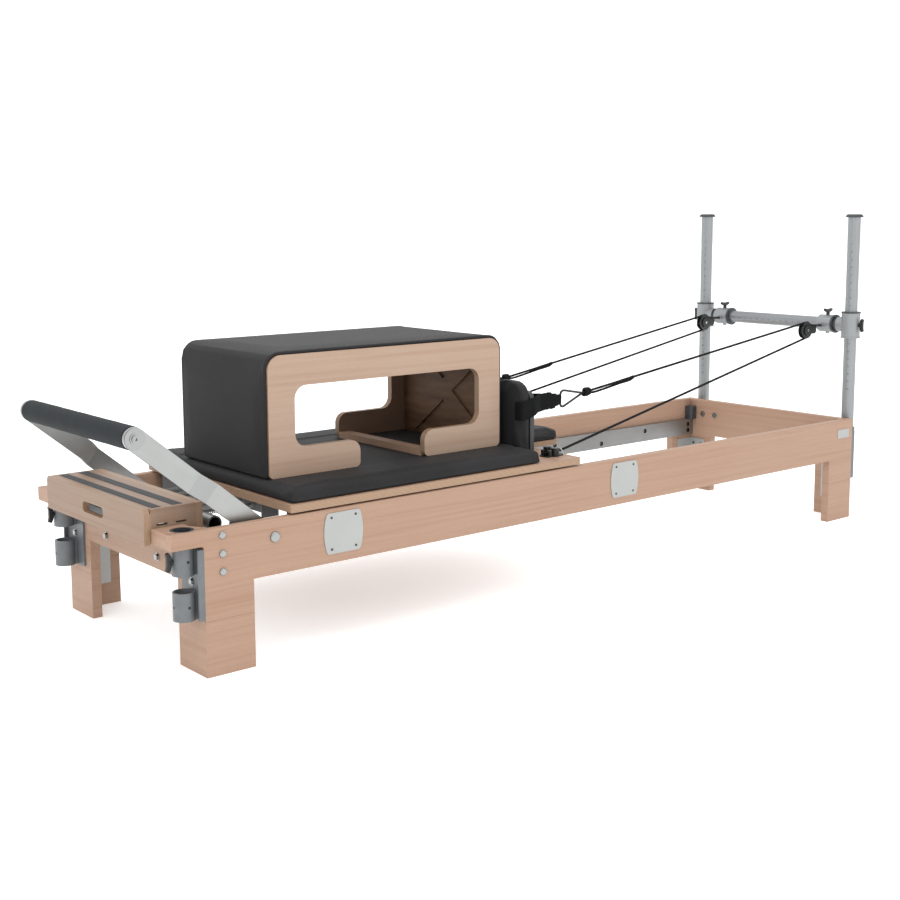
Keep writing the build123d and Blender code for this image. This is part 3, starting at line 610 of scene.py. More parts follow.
def lattice(name: str, points: Array, around: bool = True, along: bool = False,
            capped: bool = True, reach: Array | None = None) -> bpy.types.Mesh:
    """Mesh over a grid of points, with a UV map in turns and metres.

    Args:
        name: the mesh's name.
        points: rows by columns by three.
        around: whether the last column joins the first.
        along: whether the last row joins the first.
        capped: whether the first and last rows are closed with a fan.
        reach: distance of every row along the piece, for the UV map.

    Returns:
        The mesh, its faces outwards.
    """
    rows, cols = points.shape[:2]
    row, col = np.meshgrid(np.arange(rows if along else rows - 1),
                           np.arange(cols if around else cols - 1), indexing="ij")
    below, beside = (row + 1) % rows, (col + 1) % cols
    quads = np.stack([row * cols + col, row * cols + beside, below * cols + beside,
                      below * cols + col], -1).reshape(-1, 4)
    if reach is None:
        steps = np.linalg.norm(np.diff(points[:, 0], axis=0), axis=1)
        reach = np.concatenate([[0.0], np.cumsum(steps)])
    reach = np.append(reach, reach[-1] + reach[1] - reach[0])
    uv_u = np.stack([col, col + 1, col + 1, col], -1).reshape(-1) / cols
    uv_v = np.stack([reach[row], reach[row], reach[row + 1], reach[row + 1]], -1).reshape(-1)
    vertices, faces = points.reshape(-1, 3), quads.tolist()
    if capped and around and not along:
        middles = np.stack([points[0].mean(0), points[-1].mean(0)])
        vertices = np.concatenate([vertices, middles])
        ring = np.arange(cols)
        first = np.stack([np.roll(ring, -1), ring, np.full(cols, rows * cols)], -1)
        last = np.stack([ring, np.roll(ring, -1)], -1) + (rows - 1) * cols
        last = np.concatenate([last, np.full((cols, 1), rows * cols + 1)], 1)
        faces += first.tolist() + last.tolist()
        uv_u = np.concatenate([uv_u, np.zeros(cols * 6)])
        uv_v = np.concatenate([uv_v, np.zeros(cols * 3), np.full(cols * 3, reach[-2])])
    mesh = bpy.data.meshes.new(name)
    mesh.from_pydata(vertices.tolist(), [], faces)
    layer = mesh.uv_layers.new(name="surface")
    layer.data.foreach_set("uv", np.stack([uv_u, uv_v], -1).astype(np.float32).ravel())
    if around:
        outward(mesh)
    mesh.update()
    return mesh


def directions(path: Array, closed: bool = False) -> Array:
    """Unit direction at every point of a path, by the difference of its neighbours."""
    ahead = np.roll(path, -1, 0) - np.roll(path, 1, 0) if closed else np.gradient(path, axis=0)
    return ahead / np.linalg.norm(ahead, axis=1, keepdims=True)


def carried(path: Array, section: Array, side: Sequence[float], closed: bool = False) -> Array:
    """A section carried along a path.

    The section's first coordinate lies along side made square to the path, its second along
    their cross product.

    Args:
        path: stations by three.
        section: points by two, or stations by points by two.
        side: direction that the section's first coordinate keeps to.
        closed: whether the path is a loop.

    Returns:
        Stations by points by three.
    """
    ahead = directions(path, closed)
    fixed = np.broadcast_to(np.array(side, float), ahead.shape)
    first = fixed - (fixed * ahead).sum(1, keepdims=True) * ahead
    first /= np.linalg.norm(first, axis=1, keepdims=True)
    second = np.cross(ahead, first)
    section = np.broadcast_to(section, (len(path), *section.shape[-2:]))
    return (path[:, None] + section[..., :1] * first[:, None]
            + section[..., 1:] * second[:, None])


def circle(radius: float, sides: int) -> Array:
    """Points on a circle about the origin."""
    turn = np.linspace(0, 2 * np.pi, sides, endpoint=False)
    return radius * np.stack([np.cos(turn), np.sin(turn)], -1)


def rounded_bar(width: float, height: float, radius: float, corner: int = 4) -> Array:
    """Outline of a rectangle with quarter-circle corners."""
    turn = np.linspace(0, np.pi / 2, corner)
    outline = []
    for k, (sx, sy) in enumerate(((1, 1), (-1, 1), (-1, -1), (1, -1))):
        centre = np.array([sx * (width / 2 - radius), sy * (height / 2 - radius)])
        angle = turn + k * np.pi / 2
        outline.append(centre + radius * np.stack([np.cos(angle), np.sin(angle)], -1))
    return np.concatenate(outline)


def softened(corners: Array, radius: Sequence[float], count: int = 9) -> Array:
    """Closed line through corners, each replaced by a quadratic curve that starts and ends at
    the given distance from it."""
    before, after = np.roll(corners, 1, 0) - corners, np.roll(corners, -1, 0) - corners
    reach = np.array(radius, float)[:, None]
    start = corners + before / np.linalg.norm(before, axis=1, keepdims=True) * reach
    end = corners + after / np.linalg.norm(after, axis=1, keepdims=True) * reach
    t = np.linspace(0, 1, count)[None, :, None]
    curve = (1 - t) ** 2 * start[:, None] + 2 * t * (1 - t) * corners[:, None] + t ** 2 * end[:, None]
    return curve.reshape(-1, 3)


def evenly(path: Array, step: float, closed: bool = False) -> Array:
    """The same line with stations a fixed distance apart."""
    line = np.concatenate([path, path[:1]]) if closed else path
    run = np.concatenate([[0.0], np.cumsum(np.linalg.norm(np.diff(line, axis=0), axis=1))])
    count = max(3, int(run[-1] / step))
    at = np.linspace(0, run[-1], count, endpoint=not closed)
    return np.stack([np.interp(at, run, line[:, k]) for k in range(3)], -1)


def spun(profile: Array, centre: Sequence[float], axis: int, sides: int = 48) -> Array:
    """A profile of (distance along, radius) pairs turned about a line along X, Y or Z."""
    turn = np.linspace(0, 2 * np.pi, sides, endpoint=False)
    other = [k for k in range(3) if k != axis]
    points = np.zeros((len(profile), sides, 3))
    points[..., axis] = profile[:, :1]
    points[..., other[0]] = profile[:, 1:] * np.cos(turn)
    points[..., other[1]] = profile[:, 1:] * np.sin(turn)
    return points + np.array(centre)


def nurbs_line(name: str, controls: Sequence[Array], steps: int = 40) -> Array:
    """Points of the smooth line that a row of control points gives.

    Args:
        name: name of the helper curve.
        controls: the route's points.
        steps: stations for every control point.

    Returns:
        Stations by three.
    """
    data = bpy.data.curves.new(name, "CURVE")
    data.dimensions = "3D"
    spline = data.splines.new("NURBS")
    spline.points.add(len(controls) - 1)
    homogeneous = np.concatenate([np.array(controls), np.ones((len(controls), 1))], 1)
    spline.points.foreach_set("co", homogeneous.astype(np.float32).ravel())
    spline.order_u = 3
    spline.use_endpoint_u = True
    data.resolution_u = steps
    holder = bpy.data.objects.new(name, data)
    mesh = bpy.data.meshes.new_from_object(holder)
    line = np.zeros(len(mesh.vertices) * 3)
    mesh.vertices.foreach_get("co", line)
    bpy.data.objects.remove(holder)
    bpy.data.curves.remove(data)
    bpy.data.meshes.remove(mesh)
    return line.reshape(-1, 3)


def length_of(path: Array) -> float:
    """Length of a line of points."""
    return float(np.linalg.norm(np.diff(path, axis=0), axis=1).sum())


# ---------------------------------------------------------------- finishes


class Finishes:
    """Every material, made once and handed out by name."""

    def __init__(self) -> None:
        """Builds the whole range."""
        arm = math.radians(39.67)
        steel, pale = linear("8D8F8F"), linear("9EA09F")
        recipes = [
            Beech("beech_long", Grain.LENGTH),
            Beech("beech_cross", Grain.WIDTH, seed=3.1),
            Beech("beech_leg", Grain.AROUND, seed=5.3),
            Beech("box_veneer", Grain.LENGTH, light=linear("A99280"), dark=linear("977A66"),
                  layers=1, inner_shade=self.box_inner_shade, seed=7.7),
            Beech("deck_ply", Grain.WIDTH, layers=2, seed=1.9),
            Beech("platform_ply", Grain.ACROSS, light=linear("907A68"), dark=linear("7F6350"),
                  layers=0, beyond=(-1.17975, 0.0555), inner_shade=self.platform_inner_shade, seed=9.2),
            Beech("headrest_ply", Grain.WIDTH, layers=2, seed=4.4),
            InnerPly(), Hide(), Foam(), Grit(), Braid(), Webbing(), Ink(),
            Metal("satin_aluminium", linear("9C9D9D"), linear("838585"), 0.34,
                  lines=(5.0, 700.0, 1100.0)),
            Metal("track_aluminium", linear("9C9D9D"), linear("838585"), 0.34,
                  lines=(5.0, 700.0, 1100.0), hole_shade=self.bolt_hole_shade),
            Metal("arm_aluminium", linear("A7A8A7"), linear("929493"), 0.30,
                  lines=(6.0, 900.0, 1300.0), turn=-arm),
            Metal("anodised_tube", linear("979A9B"), linear("86898B"), 0.40, 0.85,
                  lines=(900.0, 900.0, 8.0), marks=0.05),
            Metal("anodised_bar", linear("919395"), linear("808385"), 0.40, 0.85,
                  lines=(900.0, 8.0, 900.0), marks=0.05),
            Metal("clamp_casting", linear("96999A"), linear("86898B"), 0.46, 0.6,
                  lines=(420.0, 420.0, 420.0), marks=0.08),
            Metal("bright_steel", pale, steel, 0.20, lines=(260.0, 260.0, 260.0), marks=0.06),
            Metal("silver_plate", linear("A8AAA8"), linear("9A9C9B"), 0.42, 0.55,
                  lines=(5.0, 40.0, 1200.0), marks=0.06),
            Metal("spring_steel", linear("909192"), linear("6E7072"), 0.28,
                  lines=(300.0, 300.0, 300.0)),
            Metal("dark_screw", linear("5D5F61"), linear("303234"), 0.35,
                  lines=(500.0, 500.0, 500.0)),
            Enamel("grey_steel", linear("666A6D"), linear("5A5E60"), 0.40),
            Enamel("rest_plate", linear("2B2D2F"), linear("242629"), 0.45),
            Enamel("black_plastic", linear("08090A"), linear("111213"), 0.40, 900.0),
            Enamel("pulley_plastic", linear("08090A"), linear("111213"), 0.40, 900.0,
                   bright=self.axle),
            Enamel("cleat_plastic", linear("08090A"), linear("111213"), 0.40, 900.0,
                   bright=self.rope_guide),
            Enamel("dark_ring", linear("272B2E"), linear("33383C"), 0.42, 700.0),
            Enamel("wheel_plastic", linear("101112"), linear("191C1C"), 0.38, 600.0),
            Enamel("black_wire", linear("0A0B0C"), linear("141516"), 0.36, 1200.0),
        ]
        self.by_name = {recipe.name: recipe.build() for recipe in recipes}

    @staticmethod
    def box_inner_shade(x: Term, y: Term, z: Term) -> Term:
        """1 on the inner faces of the box's side panels, which get painted shade."""
        return (y > -0.1945) * (1.0 - (y > 0.1725))

    @staticmethod
    def platform_inner_shade(x: Term, y: Term, z: Term) -> Term:
        """1 on the inner faces of the platform, under its top, which get painted shade."""
        between = (x > -1.2360) * (1.0 - (x > -1.1235))
        return between * (1.0 - (abs(y) > 0.2512)) * (1.0 - (z > 0.3525))

    @staticmethod
    def bolt_hole_shade(x: Term, y: Term, z: Term) -> Term:
        """1 inside the holes of the tracks, which get near-black painted shade, 0 on their outer faces."""
        deep = abs(y)
        return (deep > 0.3074) * (1.0 - (deep > 0.3200)) * (z > 0.206) * (1.0 - (z > 0.250))

    @staticmethod
    def axle(x: Term, y: Term, z: Term) -> Term:
        """1 on the axles of the pulleys."""
        across, up = x - spot(2310, 0, 0)[0], z - 0.616
        return 1.0 - (across * across + up * up > 0.0042 ** 2)

    @staticmethod
    def rope_guide(x: Term, y: Term, z: Term) -> Term:
        """1 on the wire guides of the cleats."""
        return (x > spot(1120, 0, 0)[0]) * (z > 0.3545)

    def __getitem__(self, name: str) -> bpy.types.Material:
        """The material of that name."""
        return self.by_name[name]


@dataclass
class Joinery:
    """Dresses the fixed pieces that keep their own shape."""

    finishes: Finishes
    wear: dict[str, str] = field(default_factory=lambda: {
        "side_rail_near": "beech_long", "side_rail_far": "beech_long",
        "corner_blocks": "beech_leg", "foot_end_board": "beech_cross",
        "riser_end_board": "beech_cross", "leg_extensions": "beech_leg",
        "carriage_board": "deck_ply", "headrest_board": "headrest_ply",
        "box_sides": "box_veneer", "box_frame": "inner_ply", "platform_body": "platform_ply",
        "platform_strips": "grip_strip", "pole_brackets": "grey_steel",
        "socket_rings": "dark_ring", "tracks": "track_aluminium", "rear_stops": "dark_ring",
        "side_plates": "silver_plate", "frame_bolts": "bright_steel",
        "small_screws": "dark_screw", "crossboard_plate": "grey_steel",
        "leg_joint_plates": "silver_plate", "spring_bar": "satin_aluminium",
        "footbar_pivots": "bright_steel", "footbar_rests": "dark_ring",
        "riser_poles": "anodised_tube", "pole_caps": "dark_ring",
        "footbar_arms": "arm_aluminium", "footbar_tube": "satin_aluminium",
        "footbar_bolts": "bright_steel", "crossbar_tube": "anodised_bar",
        "pole_clamps": "clamp_casting", "clamp_rings": "dark_ring",
        "bar_collars": "clamp_casting", "pulley_blocks": "pulley_plastic",
        "pulley_wheel_near": "wheel_plastic", "pulley_wheel_far": "wheel_plastic",
        "carriage_brackets": "grey_steel", "side_rollers": "wheel_plastic",
        "front_wheels": "wheel_plastic", "rear_wheels": "wheel_plastic",
        "rope_cleats": "cleat_plastic", "shoulder_rest_near": "rest_plate",
        "shoulder_rest_far": "rest_plate",
    })

    def dress(self, nodes: dict[str, bpy.types.Object]) -> None:
        """Gives every kept piece its finish, and the knobs theirs.

        Args:
            nodes: the frame's objects by name.
        """
        for name, made in nodes.items():
            finish = self.wear.get(name, "black_plastic" if "knob" in name else None)
            if finish is None:
                continue
            for slot in made.material_slots:
                slot.material = self.finishes[finish]
            LOG.info("%s dressed in %s", name, finish)


# ---------------------------------------------------------------- padding


@dataclass
class Pad:
    """One padded piece, swollen from its frame solid by a cloth simulation."""

    node: str
    body: str
    finishes: Finishes
    held: Callable[[Array, Array, Array], Array]
    voxel: float = 0.006
    inset: float = 0.0015
    cap: float = 0.004
    pressure: float = 4.0
    subdivide: bool = False
    fill: float = 0.85

    def build(self, source: bpy.types.Object) -> bpy.types.Object:
        """Remeshes, swells and finishes the pad.

        Args:
            source: the frame's solid.

        Returns:
            The finished pad.
        """
        made = self.remeshed(source)
        low, high = (np.array(v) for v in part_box(self.node))
        self.swell(made, low, high)
        self.settle(made.data, low, high)
        if self.subdivide:
            finer = made.modifiers.new("finer", "SUBSURF")
            finer.levels = finer.render_levels = 1
        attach(made, self.body)
        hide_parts(self.node)
        return made

    def remeshed(self, source: bpy.types.Object) -> bpy.types.Object:
        """Even quads over a slightly drawn-in copy of the solid.

        Args:
            source: the frame's solid.

        Returns:
            The new object.
        """
        copy = source.data.copy()
        work = bmesh.new()
        work.from_mesh(copy)
        bmesh.ops.remove_doubles(work, verts=work.verts, dist=1e-6)
        bmesh.ops.recalc_face_normals(work, faces=work.faces)
        work.to_mesh(copy)
        work.free()
        holder = bpy.data.objects.new(self.node + "_block", copy)
        bpy.context.scene.collection.objects.link(holder)
        shell = holder.modifiers.new("shell", "REMESH")
        shell.mode, shell.voxel_size, shell.adaptivity = "VOXEL", self.voxel, 0.0
        ease = holder.modifiers.new("ease", "SMOOTH")
        ease.factor, ease.iterations = 0.5, 3
        graph = bpy.context.evaluated_depsgraph_get()
        mesh = bpy.data.meshes.new_from_object(holder.evaluated_get(graph))
        bpy.data.objects.remove(holder)
        bpy.data.meshes.remove(copy)
        mesh.name = self.node + "_padding"
        return piece(mesh.name, mesh, self.finishes["upholstery"], crease=3.0)

    def swell(self, made: bpy.types.Object, low: Array, high: Array) -> None:
        """Twenty steps of pressed cloth, each point's travel capped.

        Args:
            made: the pad, changed in place.
            low: lowest corner of the solid.
            high: highest corner of the solid.
        """
        start = coordinates(made.data)
        normals = np.zeros(len(start) * 3)
        made.data.vertices.foreach_get("normal", normals)
        drawn = start - normals.reshape(-1, 3) * self.inset * (1 - self.held(start, low, high))[:, None]
        made.data.vertices.foreach_set("co", drawn.ravel())
        group = made.vertex_groups.new(name="held")
        weights = self.held(start, low, high)
        for level in np.unique(np.round(weights, 1)):
            chosen = np.nonzero(np.round(weights, 1) == level)[0].tolist()
            group.add(chosen, float(level), "REPLACE")
        cloth = made.modifiers.new("cloth", "CLOTH")
        cloth.settings.quality = 5
        cloth.settings.use_pressure = True
        cloth.settings.uniform_pressure_force = self.pressure
        cloth.settings.effector_weights.gravity = 0.0
        cloth.settings.vertex_group_mass = "held"
        cloth.point_cache.frame_start, cloth.point_cache.frame_end = 1, 20
        for step in range(1, 21):
            bpy.context.scene.frame_set(step)
        graph = bpy.context.evaluated_depsgraph_get()
        swollen = coordinates(made.evaluated_get(graph).data)
        bpy.context.scene.frame_set(1)
        made.modifiers.remove(cloth)
        travel = swollen - drawn
        size = np.linalg.norm(travel, axis=1, keepdims=True)
        travel *= np.minimum(1.0, (self.cap + self.inset) / np.maximum(size, 1e-9))
        made.data.vertices.foreach_set("co", (drawn + travel).ravel())
        made.data.update()
        made.vertex_groups.remove(group)

    def settle(self, mesh: bpy.types.Mesh, low: Array, high: Array) -> None:
        """Keeps the pad off what it rests on and inside its space.

        Args:
            mesh: the pad's mesh.
            low: lowest corner of the solid.
            high: highest corner of the solid.
        """
        points = coordinates(mesh)
        if self.node == "box_cover":
            points[:, 1] = np.clip(points[:, 1], low[1] + 0.0002, high[1] - 0.0002)
            points[:, 2] = np.maximum(points[:, 2], low[2] + 0.001)
        elif self.node.startswith("shoulder"):
            points[:, 0] = np.minimum(points[:, 0], high[0] - 0.0002)
            points[:, 2] = np.maximum(points[:, 2], low[2] + 0.0003)
        else:
            points[:, 2] = np.maximum(points[:, 2], low[2] + 0.0002)
        mesh.vertices.foreach_set("co", points.ravel())
        mesh.update()


def coordinates(mesh: bpy.types.Mesh) -> Array:
    """Every vertex of a mesh."""
    points = np.zeros(len(mesh.vertices) * 3)
    mesh.vertices.foreach_get("co", points)
    return points.reshape(-1, 3)


def rise(value: Array, low: float, high: float) -> Array:
    """Smooth step from 0 at low to 1 at high."""
    t = np.clip((value - low) / (high - low), 0, 1)
    return t * t * (3 - 2 * t)


@dataclass
class Upholstery:
    """The deck pad, the box cover, the shoulder pads and the headrest pad."""

    finishes: Finishes

    def pads(self) -> list[Pad]:
        """All padded pieces with the places where each is held down."""

        def on_deck(p: Array, low: Array, high: Array) -> Array:
            """Held at its base, and under the feet of the box."""
            base = 1 - rise(p[:, 2], low[2] + 0.004, low[2] + 0.012)
            feet = (1 - rise(np.abs(p[:, 1]), 0.208, 0.226)) * rise(p[:, 0], -0.918, -0.898)
            feet *= (1 - rise(p[:, 0], -0.205, -0.185)) * rise(p[:, 2], high[2] - 0.006, high[2] - 0.002)
            return np.maximum(base, feet)

        def on_box(p: Array, low: Array, high: Array) -> Array:
            """Held on its inner faces, its sides and its lower rims."""
            inner = (p[:, 0] > low[0] + 0.006) & (p[:, 0] < high[0] - 0.006) & (p[:, 2] < high[2] - 0.0065)
            half, middle = (high[1] - low[1]) / 2, (high[1] + low[1]) / 2
            sides = rise(np.abs(p[:, 1] - middle), half - 0.012, half - 0.003)
            rim = 1 - rise(p[:, 2], low[2] + 0.002, low[2] + 0.014)
            return np.maximum.reduce([inner.astype(float), sides, rim])

        def on_rest(p: Array, low: Array, high: Array) -> Array:
            """Held on the face against the plate."""
            return rise(p[:, 0], high[0] - 0.008, high[0] - 0.002)

        def on_board(p: Array, low: Array, high: Array) -> Array:
            """Held at its base."""
            return 1 - rise(p[:, 2], low[2] + 0.002, low[2] + 0.010)

        f = self.finishes
        return [
            Pad("carriage_pad", "carriage", f, on_deck, cap=0.0025),
            Pad("box_cover", "sitting_box", f, on_box, 0.005, cap=0.003),
            Pad("shoulder_pad_near", "rest_near", f, on_rest, 0.005, cap=0.0035, subdivide=True),
            Pad("shoulder_pad_far", "rest_far", f, on_rest, 0.005, cap=0.0035, subdivide=True),
            Pad("headrest_pad", "headrest", f, on_board, 0.005, cap=0.004, subdivide=True),
        ]

    def build(self, nodes: dict[str, bpy.types.Object]) -> None:
        """Makes every pad.

        Args:
            nodes: the frame's objects by name.
        """
        for pad in self.pads():
            pad.build(nodes[pad.node])


@dataclass
class Footbar:
    """Foam sleeve of the footbar."""

    finishes: Finishes
    axis: tuple[float, float] = (-116.5, 531.2)
    radius: float = 0.0265
    half: float = 0.2665
    inner: float = 0.0161

    def build(self) -> bpy.types.Object:
        """A sleeve with soft ends: its radius is constant, with a faint unevenness, and falls
        along a quarter circle at both ends.

        Returns:
            The sleeve.
        """
        bend = np.linspace(0, np.pi / 2, 7)
        edge = 0.005
        end = np.stack([self.half - edge + edge * np.sin(bend), self.radius - edge + edge * np.cos(bend)], -1)
        run = np.linspace(-(self.half - edge), self.half - edge, 90)[1:-1]
        body = np.stack([run, np.full_like(run, self.radius)], -1)
        inner = np.array([[self.half, self.inner], [-self.half, self.inner]])
        start = end[::-1] * [-1, 1]
        profile = np.concatenate([start, body, end, inner])
        points = spun(profile, (0, 0, 0), 1, 56)
        turn = np.arctan2(points[..., 2], points[..., 0])
        uneven = 0.00022 * np.sin(points[..., 1] * 61 + 2 * turn) * np.sin(points[..., 1] * 23 - turn)
        outer = np.hypot(points[..., 0], points[..., 2]) > self.radius - 0.0005
        scale = 1 - np.where(outer, (0.00022 + uneven) / self.radius, 0.0)
        points[..., 0] *= scale
        points[..., 2] *= scale
        points += spot(self.axis[0], 0.0, self.axis[1])
        mesh = lattice("footbar_foam", points, along=True, capped=False)
        sleeve = piece("footbar_foam", mesh, self.finishes["foam"], 1.2)
        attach(sleeve, "footbar")
        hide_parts("footbar_grip")
        return sleeve


# ---------------------------------------------------------------- ropes, straps, springs


@dataclass
class Rope:
    """One rope from its cleat around the sheave to its strap, with knot, eye and sleeve."""

    name: str
    side: float
    finishes: Finishes
    radius: float = 0.0035
    lower: Sequence[tuple[float, float, float]] = (
        (1072.0, 275.0, 358.6), (1126.0, 274.0, 360.0), (1178.9, 271.4, 370.3),
        (2160.0, 222.6, 560.9))
    turn: Sequence[tuple[float, float, float]] = ()
    upper: Sequence[tuple[float, float, float]] = ()
    lengths: tuple[float, float, float] = (1.108, 0.385, 0.917)

    def line(self, part: str, points: Sequence[tuple[float, float, float]], steps: int = 40) -> Array:
        """Smooth line of one stretch on this rope's side."""
        controls = [spot(x, self.side * y, z) for x, y, z in points]
        return nurbs_line(f"{self.name}_{part}_line", controls, steps)

    def tube(self, part: str, path: Array, radius: float | None = None) -> bpy.types.Object:
        """Braided tube along a line.

        Args:
            part: name of the stretch.
            path: its centre line.
            radius: half its thickness, the rope's own if none is given.

        Returns:
            The tube.
        """
        shape = carried(path, circle(radius or self.radius, 12), (0, 1, 0))
        name = f"{self.name}_{part}"
        return piece(name, lattice(name, shape), self.finishes["black_cord"])

    def build(self) -> None:
        """Makes the three stretches, the knot, the doubled end and the sleeve that binds it."""
        node = self.name
        spans = {part: self.line(part, points) for part, points in
                 (("lower", self.lower), ("turn", self.turn), ("upper", self.upper))}
        trimmings = self.end_pieces(spans["upper"])
        facts = (("lower", "object", "carriage", 1.0, self.lengths[0], ()),
                 ("turn", "object", "crossbar", -1.0, self.lengths[1], ()),
                 ("upper", "knot", "carriage", -1.0, self.lengths[2], trimmings))
        for part, far_end, body, way, length, pieces in facts:
            path = evenly(spans[part], 0.006 if part != "turn" else 0.0025)
            made = self.tube(part, path)
            LOG.info("%s %s measures %.4f m", node, part, length_of(path))
            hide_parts(node)
            if part == "lower":
                tuple(spot(1126, self.side * 274, 360))
                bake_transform(made)
            elif part == "turn":
                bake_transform(made)
            else:
                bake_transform(made)

    def end_pieces(self, upper: Array) -> list[bpy.types.Object]:
        """Knot, doubled strand and binding sleeve at the strap's end of the rope.

        Args:
            upper: centre line of the upper stretch, which ends at the knot.

        Returns:
            The pieces.
        """
        tip = upper[-1]
        ahead = (upper[-2] - tip) / np.linalg.norm(upper[-2] - tip)
        down = np.array([ahead[2], 0.0, -ahead[0]])
        turns = np.linspace(0, 2 * np.pi * 3.0, 96)
        along = np.linspace(0.0035, 0.0235, 96)
        wide = 0.0080 + 0.0010 * np.sin(turns * 1.7)
        knot_line = (tip + along[:, None] * ahead + (wide * np.cos(turns))[:, None] * np.array([0, 1, 0])
                     + (wide * np.sin(turns))[:, None] * down)
        knot = carried(knot_line, circle(0.0041, 10), ahead)
        heart = carried(np.linspace(tip - ahead * 0.007, tip + ahead * 0.027, 12),
                        circle(0.0052, 12) * [1.0, 0.8], (0, 1, 0))
        loop = nurbs_line(f"{self.name}_eye_line", [
            tip + ahead * 0.018 + down * 0.003, tip + ahead * 0.034 + down * 0.0085,
            tip + ahead * 0.080 + down * 0.0080, tip + ahead * 0.138 + down * 0.0064,
            tip + ahead * 0.166 + down * 0.0050])
        eye = carried(loop, circle(0.0032, 10), (0, 1, 0))
        run = np.array([0.146, 0.149, 0.153, 0.164, 0.186, 0.199, 0.207, 0.212, 0.214])
        thick = np.array([0.0036, 0.0048, 0.0056, 0.0060, 0.0061, 0.0058, 0.0052, 0.0044, 0.0037])
        centre = tip + run[:, None] * ahead + (0.0026 * (1 - rise(run, 0.196, 0.212)))[:, None] * down
        section = circle(1.0, 16)[None] * thick[:, None, None] * np.array([0.86, 1.12])
        sleeve = carried(centre, section, (0, 1, 0))
        made = []
        for part, points, finish in (("knot", knot, "black_cord"), ("knot_heart", heart, "black_cord"),
                                     ("eye", eye, "black_cord"), ("binding", sleeve, "black_webbing")):
            name = f"{self.name}_{part}"
            one = piece(name, lattice(name, points), self.finishes[finish])
            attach(one, "carriage")
            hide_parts(self.name)
            made.append(one)
        return made


@dataclass
class Strap:
    """Webbing loop around a shoulder rest, with its sewn tail and its wire triangle."""

    name: str
    side: float
    shift: float
    finishes: Finishes
    width: float = 0.050
    thick: float = 0.0022

    def at(self, x: float, y: float, z: float) -> Array:
        """A point of this strap, mirrored to its side."""
        return spot(x, self.side * y, z)

    def build(self) -> list[bpy.types.Object]:
        """Makes the loop, its tail and the triangle.

        Returns:
            The pieces.
        """
        made = [self.loop(), *self.tail(), self.triangle()]
        for one in made:
            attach(one, "carriage")
        for one in made[:-1]:
            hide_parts("straps")
        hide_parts("strap_rings")
        return made

    def loop(self) -> bpy.types.Object:
        """A flat band carried around the rest that climbs towards the tail.

        Returns:
            The band.
        """
        end = 1093.0 + self.shift
        plan = np.array([self.at(999.9, 127.9, 475), self.at(999.9, 262.1, 475),
                         self.at(1050.6, 262.1, 475), self.at(end, 240.8, 475),
                         self.at(end, 238.6, 475), self.at(1050.6, 127.9, 475)])
        if self.side > 0:
            plan = plan[::-1]
        reach = [0.009, 0.009, 0.007, 0.0006, 0.0006, 0.007]
        path = evenly(softened(plan, reach if self.side < 0 else reach[::-1]), 0.003, True)
        climb = rise(path[:, 0], spot(1000, 0, 0)[0], spot(1072, 0, 0)[0])
        path[:, 2] += 0.0025 + 0.0145 * climb
        sag = 0.0012 * np.sin((path[:, 1]) * 70)
        path[:, 2] += sag
        width = self.width * (1 - 0.03 * climb)
        section = rounded_bar(1.0, 1.0, 0.32, 3)[None] * np.stack(
            [width, np.full_like(width, self.thick)], -1)[:, None]
        shape = carried(path, section, (0, 0, 1), closed=True)
        mesh = lattice(self.name + "_loop", shape, along=True, capped=False,
                       reach=np.arange(len(path)) * 0.003)
        return piece(self.name + "_loop", mesh, self.finishes["black_webbing"])

    def tail(self) -> list[bpy.types.Object]:
        """The box-stitched fold and the narrow loop that holds the wire.

        Returns:
            Both parts.
        """
        made = []
        dx = self.shift
        for part, x0, x1, high, low, deep in (("fold", 1083.0, 1127.0, 0.0470, 0.0455, 0.0090),
                                              ("keeper", 1122.0, 1167.0, 0.0430, 0.0270, 0.0076)):
            run = np.linspace(0, 1, 26)
            path = self.at(x0 + dx, 239.8, 492.0) + run[:, None] * np.array([(x1 - x0) * 0.001, 0, 0.0035])
            tall = high + (low - high) * rise(run, 0.2, 0.9)
            path[:, 2] += 0.0005 * np.sin(run * 17.0)
            full = np.minimum(1.0, 0.55 + 3.0 * np.minimum(run, 1 - run) ** 0.6)
            wavy = 1 + 0.02 * np.sin(run * 40.0)
            section = rounded_bar(1.0, 1.0, 0.30, 4)[None] * np.stack(
                [tall * wavy * (0.96 + 0.04 * full), deep * full], -1)[:, None]
            shape = carried(path, section, (0, 0, 1))
            name = f"{self.name}_{part}"
            made.append(piece(name, lattice(name, shape), self.finishes["black_webbing"]))
        return made

    def triangle(self) -> bpy.types.Object:
        """Round wire carried around a triangle with wide corners at the strap.

        Returns:
            The wire.
        """
        dx = self.shift
        corners = np.array([self.at(1164 + dx, 240, 521), self.at(1164 + dx, 240, 469),
                            self.at(1250 + dx, 240, 505.0 if self.side < 0 else 490.0)])
        path = evenly(softened(corners, [0.018, 0.018, 0.005], 14), 0.002, True)
        shape = carried(path, circle(0.0033, 10), (0, 1, 0), closed=True)
        mesh = lattice(self.name + "_wire", shape, along=True, capped=False)
        return piece(self.name + "_wire", mesh, self.finishes["black_wire"])


